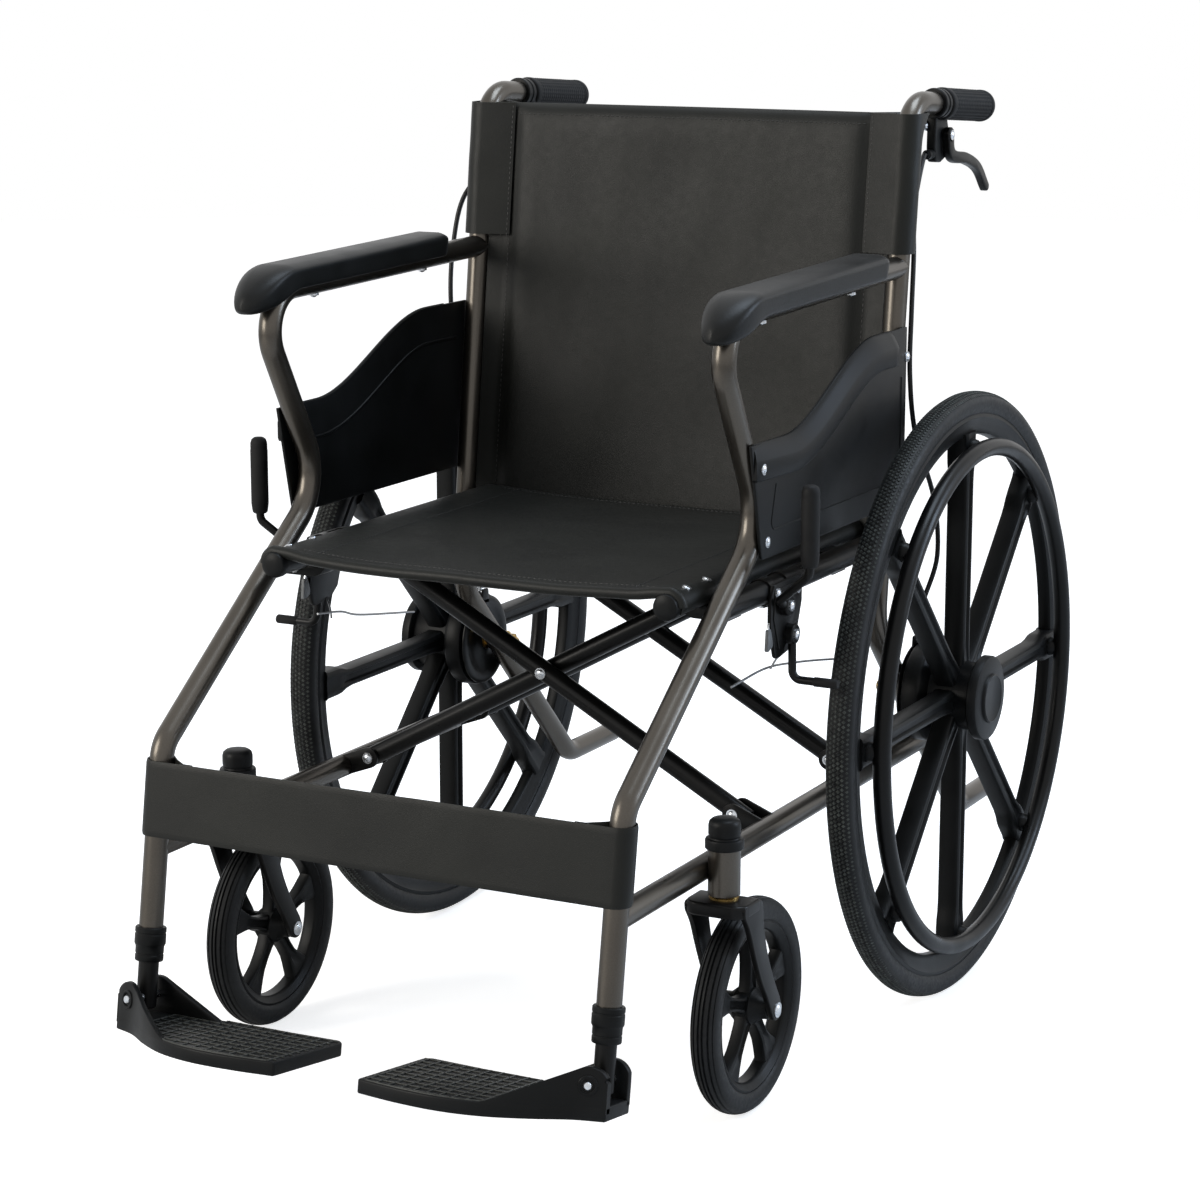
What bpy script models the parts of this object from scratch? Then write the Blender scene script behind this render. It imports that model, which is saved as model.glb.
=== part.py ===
"""Folding wheelchair: two side frames joined by a double scissor brace, with cloth seat and back.

Units are metres. +Z is up, the chair faces -Y and the occupant's left is +X. Inside this script
every y is measured from the rear axle, positive backwards; finished pieces are then moved so that
the origin lies on the floor in the middle of the chair's length and width. Pieces that come in
pairs are modelled on the left side and mirrored to the right.
"""

import math

import bmesh
import bpy
from mathutils import Matrix, Vector

# Clearances
GAP = 0.0003  # between faces that touch
PLAY = 0.0006  # beside a turning piece

# Tubes
TUBE_R = 0.0111  # side frame, 22.2 mm tube
BAR_R = 0.0095  # scissor bars, 19 mm tube
RAIL_R = 0.0111  # seat rails

# Side frame, in its own plane: y and height of each corner, with bend radii
FRAME_X = 0.235  # from the middle to the side frame's tubes
HANDLE_CORNER_Y = -0.0125
HANDLE_CORNER_Z = 0.893
HANDLE_BEND_R = 0.040
HANDLE_END_Y = 0.186
HANDLE_DROP = 0.013  # the handle's end lies this much lower than its corner
POST_LEAN = math.radians(6.9)  # the back post leans back this much
POST_BEND_R = 0.060
TIP_SLOPE = math.radians(45)  # tipping lever, which runs down through the axle
TIP_BEND_Y = 0.163
TIP_BEND_R = 0.035
TIP_END_Y = 0.273
ARM_REAR_Z = 0.7345
ARM_CORNER_Y = -0.4565
ARM_CORNER_Z = 0.724
ARM_BEND_R = 0.040
WAIST_Y = -0.3485
WAIST_Z = 0.5315
WAIST_BEND_R = 0.056
KNEE_Y = -0.6195
KNEE_Z = 0.3315
KNEE_BEND_R = 0.030
FOOT_LEAN = math.radians(9)  # the foot tube leans forward going down
FOOT_TUBE_END_Z = 0.150
SEAT_TUBE_Z = 0.468
BOTTOM_RAIL_Z = 0.240

# Scissor brace and seat rails
BRACE_X = 0.204  # lower pivots and seat rails, from the middle
BRACE_LOW_Z = 0.252
SEAT_RAIL_Z = 0.476
FRONT_BRACE_Y = -0.314
REAR_BRACE_Y = -0.090
SEAT_RAIL_FRONT_Y = -0.479
SEAT_RAIL_REAR_Y = -0.069
BAR_OVERHANG = 0.012  # bar beyond its lower pivot
BRACE_BOLT_R = 0.004
BOLT_HEAD_R = 0.0075
BOLT_HEAD_T = 0.004
LUG_T = 0.003
LUG_END_R = 0.0105

# Rear wheels
WHEEL_R = 0.305  # tyre, 24 inch
WHEEL_X = 0.2935
TYRE_HALF_W = 0.0135
TYRE_DEPTH = 0.0215
RIM_DEPTH = 0.021
RIM_HALF_W = 0.010
RIM_INNER_HALF_W = 0.0068
SPOKES = 8
SPOKE_HALF_W = 0.0095
SPOKE_END_HALF_W = 0.0145
SPOKE_HALF_T = 0.008
HUB_R = 0.034
HUB_DISC_R = 0.0425
HUB_DISC_T = 0.010
HUB_CAP_R = 0.024
HUB_CAP_T = 0.003
HUB_FACE_X = 0.3175
DRUM_R = 0.050
DRUM_IN_X = 0.2540
DRUM_OUT_X = 0.272
HAND_RIM_RING_R = 0.251
HAND_RIM_TUBE_R = 0.0065
HAND_RIM_X = 0.3200
STANDOFF_R = 0.0048
AXLE_R = 0.006
AXLE_END_GAP = 0.003
AXLE_NUT_R = 0.012
AXLE_NUT_T = 0.010
BRAKE_PLATE_R = 0.048
BRAKE_PLATE_T = 0.0026
CABLE_STOP_R = 0.0055
CABLE_STOP_LENGTH = 0.014

# Casters
CASTER_R = 0.100
CASTER_X = 0.2575
CASTER_STEM_Y = -0.467
CASTER_TRAIL = 0.052
CASTER_TYRE_HALF_W = 0.013
CASTER_TYRE_DEPTH = 0.0207
CASTER_RIM_DEPTH = 0.009
CASTER_SPOKES = 5
CASTER_HUB_R = 0.017
CASTER_HUB_END_R = 0.010
CASTER_HUB_HALF_W = 0.0235
CASTER_BOLT_R = 0.004
STEM_R = 0.006
FORK_ARM_T = 0.006
FORK_CROWN_T = 0.0095
FORK_CROWN_REAR = 0.013  # behind the stem, clear of the tyre
FORK_EYE_R = 0.0095
HOUSING_R = 0.0155
FORK_CROWN_GAP = 0.0025  # between the crown and the housing
CROWN_OVER_TYRE = 0.0029
# The housing ends above the crown, and the crown's rear edge above the round of the tyre
HOUSING_LOW_Z = (CASTER_R + math.sqrt(CASTER_R ** 2 - (CASTER_TRAIL - FORK_CROWN_REAR) ** 2) + CROWN_OVER_TYRE
                 + FORK_CROWN_T + FORK_CROWN_GAP)
HOUSING_TOP_Z = 0.262
HOUSING_CAP_R = 0.0175
HOUSING_CAP_H = 0.028

# Footrests, in the slanted frame of the foot tube, with the hinge bolt as origin
FOOT_STEM_R = 0.0093
FOOT_BORE_DEPTH = 0.115
FOOT_HINGE_BELOW_TUBE = 0.047
COLLAR_TOP_R = 0.0143
COLLAR_LOW_R = 0.0130
COLLAR_TOP_H = 0.0175
COLLAR_LOW_H = 0.0140
PLATE_TOP = 0.0160  # plate surface below the hinge bolt
PLATE_T = 0.0135
PLATE_INNER_X = 0.042
PLATE_OUTER_X = 0.2505
PLATE_FRONT = 0.091
PLATE_REAR = 0.036
EAR_OFFSET = 0.0160  # inner face of each ear from the hinge's middle
EAR_T = 0.007
EAR_R = 0.0165
EAR_FOOT_X = 0.165
FOOT_BOLT_R = 0.004
FOOT_HEAD_R = 0.0070
FOOT_HEAD_T = 0.0037
FOOT_STEM_INSIDE = 0.075  # of the stem, inside the tube
FOOT_STEM_BELOW = 0.0105  # of the stem, below the hinge bolt

# Skirt guards, arm pads and cradles
GUARD_T = 0.003
GUARD_LEAD = 0.011  # guard's front edge ahead of the front tube's middle
GUARD_REAR_INSET = 0.0008  # rear edge ahead of the post's middle line, at the top
GUARD_LOW_Z = 0.505
GUARD_ARCH_Z = 0.520
GUARD_FRONT_Z = 0.605
GUARD_REAR_Z = 0.672
GUARD_RISE_FROM_Y = -0.330
GUARD_RISE_TO_Y = -0.120
GUARD_BAND_R = 0.0065
GUARD_FOOT_REAR = 0.040
GUARD_FOOT_FRONT = 0.050
GUARD_ARCH_RUN = 0.020
GUARD_BOLT_HIGH_Z = 0.585
GUARD_BOLT_LOW_Z = 0.520
GUARD_REAR_BOLT_Z = 0.640
SCREW_HEAD_R = 0.0045
SCREW_HEAD_T = 0.0025
PAD_NOSE_Y = -0.468
PAD_REAR_Y = -0.103
PAD_OFFSET_X = 0.006  # pad sits outwards of the tube
PAD_HALF_W = 0.0215
PAD_ABOVE_TUBE = 0.0160
PAD_NOSE_DROP = 0.026
CRADLE_FRONT_Y = -0.417
CRADLE_REAR_Y = -0.180
CRADLE_LENGTH = 0.030
CRADLE_WALL = 0.006
CRADLE_DEPTH = 0.022

# Brakes
BRACKET_T = 0.004
BRACKET_FRONT_Y = -(WHEEL_R + 0.047)  # the parking brake is set from the tyre
BRACKET_REAR_Y = -(WHEEL_R - 0.009)
BRACKET_LOW_Z = 0.412
LEVER_PIVOT_Y = -(WHEEL_R + 0.029)
LEVER_PIVOT_Z = 0.456
LEVER_GRIP_X = 0.292
LEVER_GRIP_Y = -(WHEEL_R + 0.062)
LEVER_GRIP_LOW_Z = 0.500
LEVER_GRIP_TOP_Z = 0.575
LEVER_GRIP_R = 0.0085
LEVER_ROD_R = 0.004
SHOE_PIVOT_Y = -(WHEEL_R + 0.017)
SHOE_PIVOT_Z = 0.427
SHOE_BAR_Y = -(WHEEL_R + 0.019)
SHOE_BAR_Z = 0.385
SHOE_BAR_END_X = 0.303
SHOE_ROD_R = 0.0045
PIVOT_PIN_R = 0.003
PIVOT_HEAD_R = 0.006
PIVOT_HEAD_T = 0.003
BOSS_R = 0.0095
BOSS_T = 2 * SHOE_ROD_R
CLAMP_Y = 0.060
CLAMP_LENGTH = 0.016
CLAMP_R = 0.0150
HAND_LEVER_PIVOT_Y = 0.084
HAND_LEVER_DROP = 0.0307  # pivot below the handle's middle line
HAND_LEVER_REACH = 0.092
HAND_LEVER_FALL = 0.062
HAND_LEVER_T = 0.008
GRIP_FRONT_Y = 0.0710
GRIP_END_Y = 0.192
GRIP_R = 0.0150
GRIP_RIB_R = 0.0162
GRIP_RIBS = 5
CABLE_R = 0.0025
CABLE_START_DROP = 0.0503  # cable stop below the handle's middle line
CABLE_RUN_X = 0.263

# Cloth
CLOTH_T = 0.0022
SEAT_FRONT_Y = -0.477
SEAT_REAR_Y = -0.084
SEAT_SAG = 0.010
SEAT_HEM_R = 0.0045
BACK_TOP_Z = HANDLE_CORNER_Z - 0.011
SLEEVE_LOW_Z = ARM_REAR_Z + TUBE_R + 0.002  # just above the arm's joint
SLEEVE_WIDTH = 0.042
BACK_LOW_Z = 0.474
BACK_PANEL_T = 0.005
BACK_BOW = 0.012
STRAP_TOP_Z = 0.320
STRAP_LOW_Z = BOTTOM_RAIL_Z + TUBE_R + 0.001  # just above the bottom rail
STRAP_T = 0.0025
STRAP_TAIL = 0.040

TUBE_SIDES = 10
FOOT_SIDES = 12  # of the stem and of what it slides in
BEND_STEP = math.radians(20)
WHEEL_SEGMENTS = 32  # divisible by 4, so that each wheel stands on a flat
CASTER_SEGMENTS = 20


# Small geometry helpers

def frame_point(y, z, x=FRAME_X):
    """A point in the left side frame's plane."""
    return Vector((x, y, z))


def post_y(z):
    """The back post's centre line."""
    return HANDLE_CORNER_Y - (HANDLE_CORNER_Z - z) * math.tan(POST_LEAN)


def foot_tube_y(z):
    """The foot tube's centre line below the knee bend."""
    return KNEE_Y - (KNEE_Z - z) * math.tan(FOOT_LEAN)


def arm_z(y):
    """The arm tube's centre line, from the back post to the front corner."""
    rear_y = post_y(ARM_REAR_Z)
    share = (y - rear_y) / (ARM_CORNER_Y - rear_y)
    return ARM_REAR_Z + share * (ARM_CORNER_Z - ARM_REAR_Z)


def front_tube_y(z):
    """The front tube between the arm's corner and the waist."""
    share = (z - WAIST_Z) / (ARM_CORNER_Z - WAIST_Z)
    return WAIST_Y + share * (ARM_CORNER_Y - WAIST_Y)


def thigh_z(y):
    """The sloping stretch between the waist and the knee."""
    share = (y - WAIST_Y) / (KNEE_Y - WAIST_Y)
    return WAIST_Z + share * (KNEE_Z - WAIST_Z)


def thigh_y(z):
    """The same stretch, by height."""
    share = (z - WAIST_Z) / (KNEE_Z - WAIST_Z)
    return WAIST_Y + share * (KNEE_Y - WAIST_Y)


def post_foot():
    """Where the back post's line meets the tipping lever's line through the axle."""
    slope = math.tan(TIP_SLOPE)
    lean = math.tan(POST_LEAN)
    y = (HANDLE_CORNER_Y - (HANDLE_CORNER_Z - WHEEL_R) * lean) / (1 + slope * lean)
    return y, WHEEL_R - y * slope


def rounded_path(corners, radii):
    """The polyline through these corners with an arc of each radius at each inner corner."""
    path = [corners[0]]
    for before, corner, after, radius in zip(corners, corners[1:], corners[2:], radii):
        into = (corner - before).normalized()
        out = (after - corner).normalized()
        turn = into.angle(out)
        reach = radius * math.tan(turn / 2)
        start = corner - into * reach
        centre = start + (out - into * into.dot(out)).normalized() * radius
        spin = into.cross(out).normalized()
        steps = max(2, math.ceil(turn / BEND_STEP))
        for step in range(steps + 1):
            path.append(centre + Matrix.Rotation(turn * step / steps, 3, spin) @ (start - centre))
    path.append(corners[-1])
    return path


def smooth_path(points, steps):
    """A Catmull-Rom curve through these points, with this many steps between each two."""
    padded = [points[0] * 2 - points[1]] + points + [points[-1] * 2 - points[-2]]
    path = []
    for a, b, c, d in zip(padded, padded[1:], padded[2:], padded[3:]):
        for step in range(steps):
            t = step / steps
            path.append(0.5 * (2 * b + (c - a) * t + (2 * a - 5 * b + 4 * c - d) * t**2
                               + (3 * b - a - 3 * c + d) * t**3))
    path.append(points[-1])
    return path


def closed_mesh(bm, smooth_angle=math.radians(35)):
    """The bmesh as a mesh with its faces pointing out and its round faces shaded smooth."""
    bmesh.ops.recalc_face_normals(bm, faces=bm.faces)
    mesh = bpy.data.meshes.new("solid")
    bm.to_mesh(mesh)
    bm.free()
    mesh.shade_smooth()
    mesh.set_sharp_from_angle(angle=smooth_angle)
    return mesh


def lofted(rings):
    """A closed solid through rings of equally many points, with flat ends."""
    bm = bmesh.new()
    rows = [[bm.verts.new(point) for point in ring] for ring in rings]
    for low, high in zip(rows, rows[1:]):
        for i, corner in enumerate(low):
            after = (i + 1) % len(low)
            bm.faces.new((corner, low[after], high[after], high[i]))
    bm.faces.new(reversed(rows[0]))
    bm.faces.new(rows[-1])
    return closed_mesh(bm)


def tube(path, radius, sides=TUBE_SIDES):
    """A round bar along a path. The radius is one number or one for each point."""
    radii = radius if isinstance(radius, (list, tuple)) else [radius] * len(path)
    ways = [(b - a).normalized() for a, b in zip(path, path[1:])]
    tangents = [ways[0]] + [(a + b).normalized() for a, b in zip(ways, ways[1:])] + [ways[-1]]
    side = min((Vector(axis) for axis in ((1, 0, 0), (0, 1, 0), (0, 0, 1))),
               key=lambda axis: abs(axis.dot(tangents[0])))
    rings = []
    for point, tangent, size in zip(path, tangents, radii):
        side = (side - tangent * side.dot(tangent)).normalized()
        up = tangent.cross(side)
        angles = [2 * math.pi * (i + 0.5) / sides for i in range(sides)]
        rings.append([point + (side * math.cos(a) + up * math.sin(a)) * size for a in angles])
    return lofted(rings)


def turned(profile, segments, axis="X", centre=(0, 0, 0), flat=False):
    """A solid of revolution from (radius, distance along the axis) points.

    A profile whose ends have radius 0 closes on the axis; any other profile is a closed loop.
    A flat one has the middles of its sides at the given radii, with one side straight below.
    """
    swell = 1 / math.cos(math.pi / segments) if flat else 1
    phase = 0.5 if flat else 0
    centre = Vector(centre)
    along, first, second = {
        "X": (Vector((1, 0, 0)), Vector((0, 1, 0)), Vector((0, 0, 1))),
        "Y": (Vector((0, 1, 0)), Vector((0, 0, 1)), Vector((1, 0, 0))),
        "Z": (Vector((0, 0, 1)), Vector((1, 0, 0)), Vector((0, 1, 0))),
    }[axis]
    bm = bmesh.new()
    rows = []
    for radius, distance in profile:
        base = centre + along * distance
        if radius == 0:
            rows.append([bm.verts.new(base)])
            continue
        row = []
        for i in range(segments):
            angle = 2 * math.pi * (i + phase) / segments
            way = first * math.cos(angle) + second * math.sin(angle)
            row.append(bm.verts.new(base + way * radius * swell))
        rows.append(row)
    pairs = list(zip(rows, rows[1:]))
    if profile[0][0] != 0:
        pairs.append((rows[-1], rows[0]))
    for low, high in pairs:
        for i in range(segments):
            after = (i + 1) % segments
            corners = [low[i % len(low)], low[after % len(low)], high[after % len(high)], high[i % len(high)]]
            unique = list(dict.fromkeys(corners))
            bm.faces.new(unique)
    return closed_mesh(bm)


def prism(outline, axis, low, high):
    """A flat outline extruded along an axis: (y, z), (x, z) or (x, y) points for X, Y or Z."""
    def at(point, distance):
        a, b = point
        return {"X": (distance, a, b), "Y": (a, distance, b), "Z": (a, b, distance)}[axis]

    return lofted([[at(point, low) for point in outline], [at(point, high) for point in outline]])


def arc(centre, radius, start, end, steps):
    """Points on a circle in a plane, from one angle in degrees to another."""
    return [(centre[0] + radius * math.cos(math.radians(start + (end - start) * i / steps)),
             centre[1] + radius * math.sin(math.radians(start + (end - start) * i / steps)))
            for i in range(steps + 1)]


def strip_outline(start, end, start_r, end_r, steps=5):
    """A flat link with round ends of two radii, as an outline."""
    way = math.degrees(math.atan2(end[1] - start[1], end[0] - start[0]))
    return arc(start, start_r, way + 90, way + 270, steps) + arc(end, end_r, way - 90, way + 90, steps)


def boolean(base, others, operation):
    """One mesh made by joining others to a base, or cutting them from it."""
    collection = bpy.context.scene.collection
    body = bpy.data.objects.new("body", base)
    collection.objects.link(body)
    tools = []
    for other in others:
        tool = bpy.data.objects.new("tool", other)
        collection.objects.link(tool)
        modifier = body.modifiers.new("Boolean", "BOOLEAN")
        modifier.operation = operation
        modifier.solver = "EXACT"
        modifier.object = tool
        tools.append(tool)
    bpy.context.view_layer.update()
    made = bpy.data.meshes.new_from_object(body.evaluated_get(bpy.context.evaluated_depsgraph_get()))
    for item in [body, *tools]:
        bpy.data.objects.remove(item)
    made.shade_smooth()
    made.set_sharp_from_angle(angle=math.radians(35))
    return made


def joined(base, *others):
    return boolean(base, others, "UNION")


def cut(base, *others):
    return boolean(base, others, "DIFFERENCE")


def moved(mesh, matrix):
    mesh.transform(matrix)
    return mesh


def pin(y, z, low_x, high_x, radius, sides=10):
    """A round pin along X."""
    return tube([Vector((low_x, y, z)), Vector((high_x, y, z))], radius, sides)


# Materials and objects

def material(name, colour, roughness, metallic=0.0):
    made = bpy.data.materials.new(name)
    made.use_nodes = True
    shader = made.node_tree.nodes["Principled BSDF"]
    shader.inputs["Base Color"].default_value = (*colour, 1)
    shader.inputs["Roughness"].default_value = roughness
    shader.inputs["Metallic"].default_value = metallic
    return made


def body(name, origin, parent=None):
    """An empty on a joint's axis, which carries the pieces that move together."""
    empty = bpy.data.objects.new(name, None)
    empty.empty_display_size = 0.03
    bpy.context.scene.collection.objects.link(empty)
    empty["place"] = tuple(origin)
    start = Vector(parent["place"]) if parent else Vector((0, 0, 0))
    empty.location = Vector(origin) - start
    empty.parent = parent
    return empty


def piece(name, mesh, surface, carrier):
    """One named object of the part, with its origin on its carrier's joint."""
    origin = Vector(carrier["place"])
    mesh.transform(Matrix.Translation(-origin))
    mesh.name = name
    mesh.materials.clear()
    mesh.materials.append(surface)
    made = bpy.data.objects.new(name, mesh)
    bpy.context.scene.collection.objects.link(made)
    made.parent = carrier
    return made


def mirrored(mesh):
    copy = mesh.copy()
    bm = bmesh.new()
    bm.from_mesh(copy)
    bmesh.ops.scale(bm, vec=(-1, 1, 1), verts=bm.verts)
    bmesh.ops.reverse_faces(bm, faces=bm.faces)
    bm.to_mesh(copy)
    bm.free()
    return copy


def pair(name, mesh, surface, carriers):
    """The left piece and its mirror image on the right."""
    other = mirrored(mesh)
    piece("left_" + name, mesh, surface, carriers["left"])
    piece("right_" + name, other, surface, carriers["right"])


# Paths of the side frame's tubes

def front_tube_path():
    return rounded_path(
        [frame_point(post_y(ARM_REAR_Z), ARM_REAR_Z), frame_point(ARM_CORNER_Y, ARM_CORNER_Z),
         frame_point(WAIST_Y, WAIST_Z), frame_point(KNEE_Y, KNEE_Z),
         frame_point(foot_tube_y(FOOT_TUBE_END_Z), FOOT_TUBE_END_Z)],
        [ARM_BEND_R, WAIST_BEND_R, KNEE_BEND_R])


def rear_tube_path():
    foot_y, foot_z = post_foot()
    bend_z = WHEEL_R - TIP_BEND_Y * math.tan(TIP_SLOPE)
    return rounded_path(
        [frame_point(HANDLE_END_Y, HANDLE_CORNER_Z - HANDLE_DROP), frame_point(HANDLE_CORNER_Y, HANDLE_CORNER_Z),
         frame_point(foot_y, foot_z), frame_point(TIP_BEND_Y, bend_z), frame_point(TIP_END_Y, bend_z)],
        [HANDLE_BEND_R, POST_BEND_R, TIP_BEND_R])


def foot_matrix():
    """From the footrest's own frame, with its hinge bolt as origin, to the left side."""
    drop = FOOT_HINGE_BELOW_TUBE * math.cos(FOOT_LEAN)
    z = FOOT_TUBE_END_Z - drop
    place = Matrix.Translation((FRAME_X, foot_tube_y(z), z))
    return place @ Matrix.Rotation(-FOOT_LEAN, 4, "X")


# Side frame pieces

def front_frame_tube(rear_tube_cutter):
    """Arm, front post and foot tube in one bent tube, hollow at the foot."""
    bar = tube(front_tube_path(), TUBE_R)
    low = foot_matrix() @ Vector((0, 0, 0))
    axis = foot_matrix().to_3x3() @ Vector((0, 0, 1))
    bore = tube([low, low + axis * (FOOT_HINGE_BELOW_TUBE + FOOT_BORE_DEPTH)], FOOT_STEM_R + GAP, FOOT_SIDES)
    return cut(bar, rear_tube_cutter, bore)


def rear_frame_tube():
    """Push handle, back post and tipping lever in one bent tube, drilled for the axle."""
    bar = tube(rear_tube_path(), TUBE_R)
    drill = pin(0, WHEEL_R, FRAME_X - 2 * TUBE_R, FRAME_X + 2 * TUBE_R, AXLE_R + GAP, 12)
    return cut(bar, drill)


def cradle_outline():
    """A saddle that holds a seat rail from below and leaves room for the cloth beside it."""
    rail = (BRACE_X, SEAT_RAIL_Z)
    seat_r = RAIL_R + GAP
    cloth_r = RAIL_R + CLOTH_T + 3 * GAP
    outline = arc(rail, seat_r, 200, 318, 5)
    outline += arc(rail, cloth_r, 318, 360, 3)
    outline += [(FRAME_X, SEAT_RAIL_Z), (FRAME_X, SEAT_RAIL_Z - CRADLE_DEPTH)]
    outline += [(BRACE_X + CRADLE_WALL, SEAT_RAIL_Z - CRADLE_DEPTH)]
    outline += [(BRACE_X - seat_r - CRADLE_WALL, SEAT_RAIL_Z - CRADLE_DEPTH / 2)]
    outline += [(BRACE_X - seat_r - CRADLE_WALL, SEAT_RAIL_Z - 0.004)]
    return outline


def seat_side_tube(cutters):
    """The straight tube beside the seat, with the rear saddle for the seat rail welded on."""
    front_y = thigh_y(SEAT_TUBE_Z) - 3 * TUBE_R
    bar = tube([frame_point(front_y, SEAT_TUBE_Z), frame_point(0, SEAT_TUBE_Z)], TUBE_R)
    saddle = prism(cradle_outline(), "Y", CRADLE_REAR_Y, CRADLE_REAR_Y + CRADLE_LENGTH)
    return largest(cut(joined(bar, saddle), *cutters))


def largest(mesh):
    """The mesh's biggest body, after a cut has left an end piece beyond a neighbour."""
    bm = bmesh.new()
    bm.from_mesh(mesh)
    left = set(bm.verts)
    groups = []
    while left:
        group, queue = set(), [left.pop()]
        while queue:
            vert = queue.pop()
            group.add(vert)
            for edge in vert.link_edges:
                other = edge.other_vert(vert)
                if other in left:
                    left.discard(other)
                    queue.append(other)
        groups.append(group)
    keep = max(groups, key=len)
    bmesh.ops.delete(bm, geom=[v for v in bm.verts if v not in keep], context="VERTS")
    bm.to_mesh(mesh)
    bm.free()
    return mesh


def brace_lug(y):
    """Two ears and a bolt on the bottom rail, which hold a bar's lower end."""
    rail = (FRAME_X, BOTTOM_RAIL_Z)
    pivot = (BRACE_X, BRACE_LOW_Z)
    ears = []
    for side in (-1, 1):
        near = y + side * (BAR_R + PLAY)
        far = near + side * LUG_T
        outline = strip_outline(rail, pivot, TUBE_R - 0.001, LUG_END_R, 3)
        ears.append(prism(outline, "Y", min(near, far), max(near, far)))
    reach = BAR_R + PLAY + LUG_T
    head = reach + BOLT_HEAD_T
    profile = [(0, y - head), (BOLT_HEAD_R, y - head), (BOLT_HEAD_R, y - reach + 0.0005),
               (BRACE_BOLT_R, y - reach + 0.0005), (BRACE_BOLT_R, y + reach - 0.0005),
               (BOLT_HEAD_R, y + reach - 0.0005), (BOLT_HEAD_R, y + head), (0, y + head)]
    bolt = turned(profile, 8, "Y", (BRACE_X, 0, BRACE_LOW_Z))
    return [*ears, bolt]


def caster_housing():
    """The upright bearing tube beside the bottom rail, with its black cap."""
    shoulder = HOUSING_TOP_Z + 0.35 * HOUSING_CAP_H
    top = HOUSING_TOP_Z + HOUSING_CAP_H
    profile = [(0, HOUSING_LOW_Z), (HOUSING_R, HOUSING_LOW_Z), (HOUSING_R, HOUSING_TOP_Z),
               (HOUSING_CAP_R, HOUSING_TOP_Z), (HOUSING_CAP_R, shoulder), (HOUSING_CAP_R - 0.003, shoulder),
               (HOUSING_CAP_R - 0.004, top - 0.005), (HOUSING_CAP_R - 0.008, top), (0, top)]
    return turned(profile, 12, "Z", (CASTER_X, CASTER_STEM_Y, 0))


def bottom_rail(cutters, lug_shift):
    """The lower tube with the caster housing and the two lugs of the scissor brace."""
    front_y = foot_tube_y(BOTTOM_RAIL_Z) - 3 * TUBE_R
    bar = tube([frame_point(front_y, BOTTOM_RAIL_Z), frame_point(TIP_BEND_Y, BOTTOM_RAIL_Z)], TUBE_R)
    lugs = brace_lug(FRONT_BRACE_Y + lug_shift) + brace_lug(REAR_BRACE_Y + lug_shift)
    bar = joined(bar, caster_housing(), *lugs)
    drill = tube([Vector((CASTER_X, CASTER_STEM_Y, HOUSING_LOW_Z - 0.01)),
                  Vector((CASTER_X, CASTER_STEM_Y, HOUSING_TOP_Z - 0.008))], STEM_R + GAP, 12)
    return largest(cut(bar, drill, *cutters))


def skirt_guard():
    """Side panel with a rolled band along its curved top, screwed to the front tube and the post."""
    low_x = FRAME_X + TUBE_R + GAP
    steps = 10
    front_y = front_tube_y(GUARD_FRONT_Z) - GUARD_LEAD
    rear_y = post_y(GUARD_REAR_Z) - GUARD_REAR_INSET
    low_front_y = front_tube_y(WAIST_Z) - GUARD_LEAD - 0.3 * WAIST_BEND_R
    top = []
    for i in range(steps + 1):
        y = front_y + (rear_y - front_y) * i / steps
        share = min(1, max(0, (y - GUARD_RISE_FROM_Y) / (GUARD_RISE_TO_Y - GUARD_RISE_FROM_Y)))
        top.append((y, GUARD_FRONT_Z + (GUARD_REAR_Z - GUARD_FRONT_Z) * share * share * (3 - 2 * share)))
    bottom = [(rear_y, GUARD_LOW_Z), (rear_y - GUARD_FOOT_REAR, GUARD_LOW_Z),
              (rear_y - GUARD_FOOT_REAR - GUARD_ARCH_RUN, GUARD_ARCH_Z),
              (low_front_y + GUARD_FOOT_FRONT + GUARD_ARCH_RUN, GUARD_ARCH_Z),
              (low_front_y + GUARD_FOOT_FRONT, GUARD_LOW_Z), (low_front_y, GUARD_LOW_Z)]
    panel = prism(top + bottom, "X", low_x, low_x + GUARD_T)
    band_x = low_x + GAP + GUARD_BAND_R
    edge = [Vector((band_x, y, z)) for y, z in top]
    edge[0].y += 0.004
    edge[-1].y -= 0.004
    screws = [(front_tube_y(GUARD_BOLT_HIGH_Z), GUARD_BOLT_HIGH_Z), (low_front_y + GUARD_LEAD, GUARD_BOLT_LOW_Z),
              (post_y(GUARD_REAR_BOLT_Z), GUARD_REAR_BOLT_Z), (post_y(GUARD_BOLT_LOW_Z), GUARD_BOLT_LOW_Z)]
    heads = [pin(y, z, low_x + GUARD_T - 0.001, low_x + GUARD_T + SCREW_HEAD_T, SCREW_HEAD_R, 8)
             for y, z in screws]
    return joined(panel, tube(edge, GUARD_BAND_R, 8), *heads)


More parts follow.
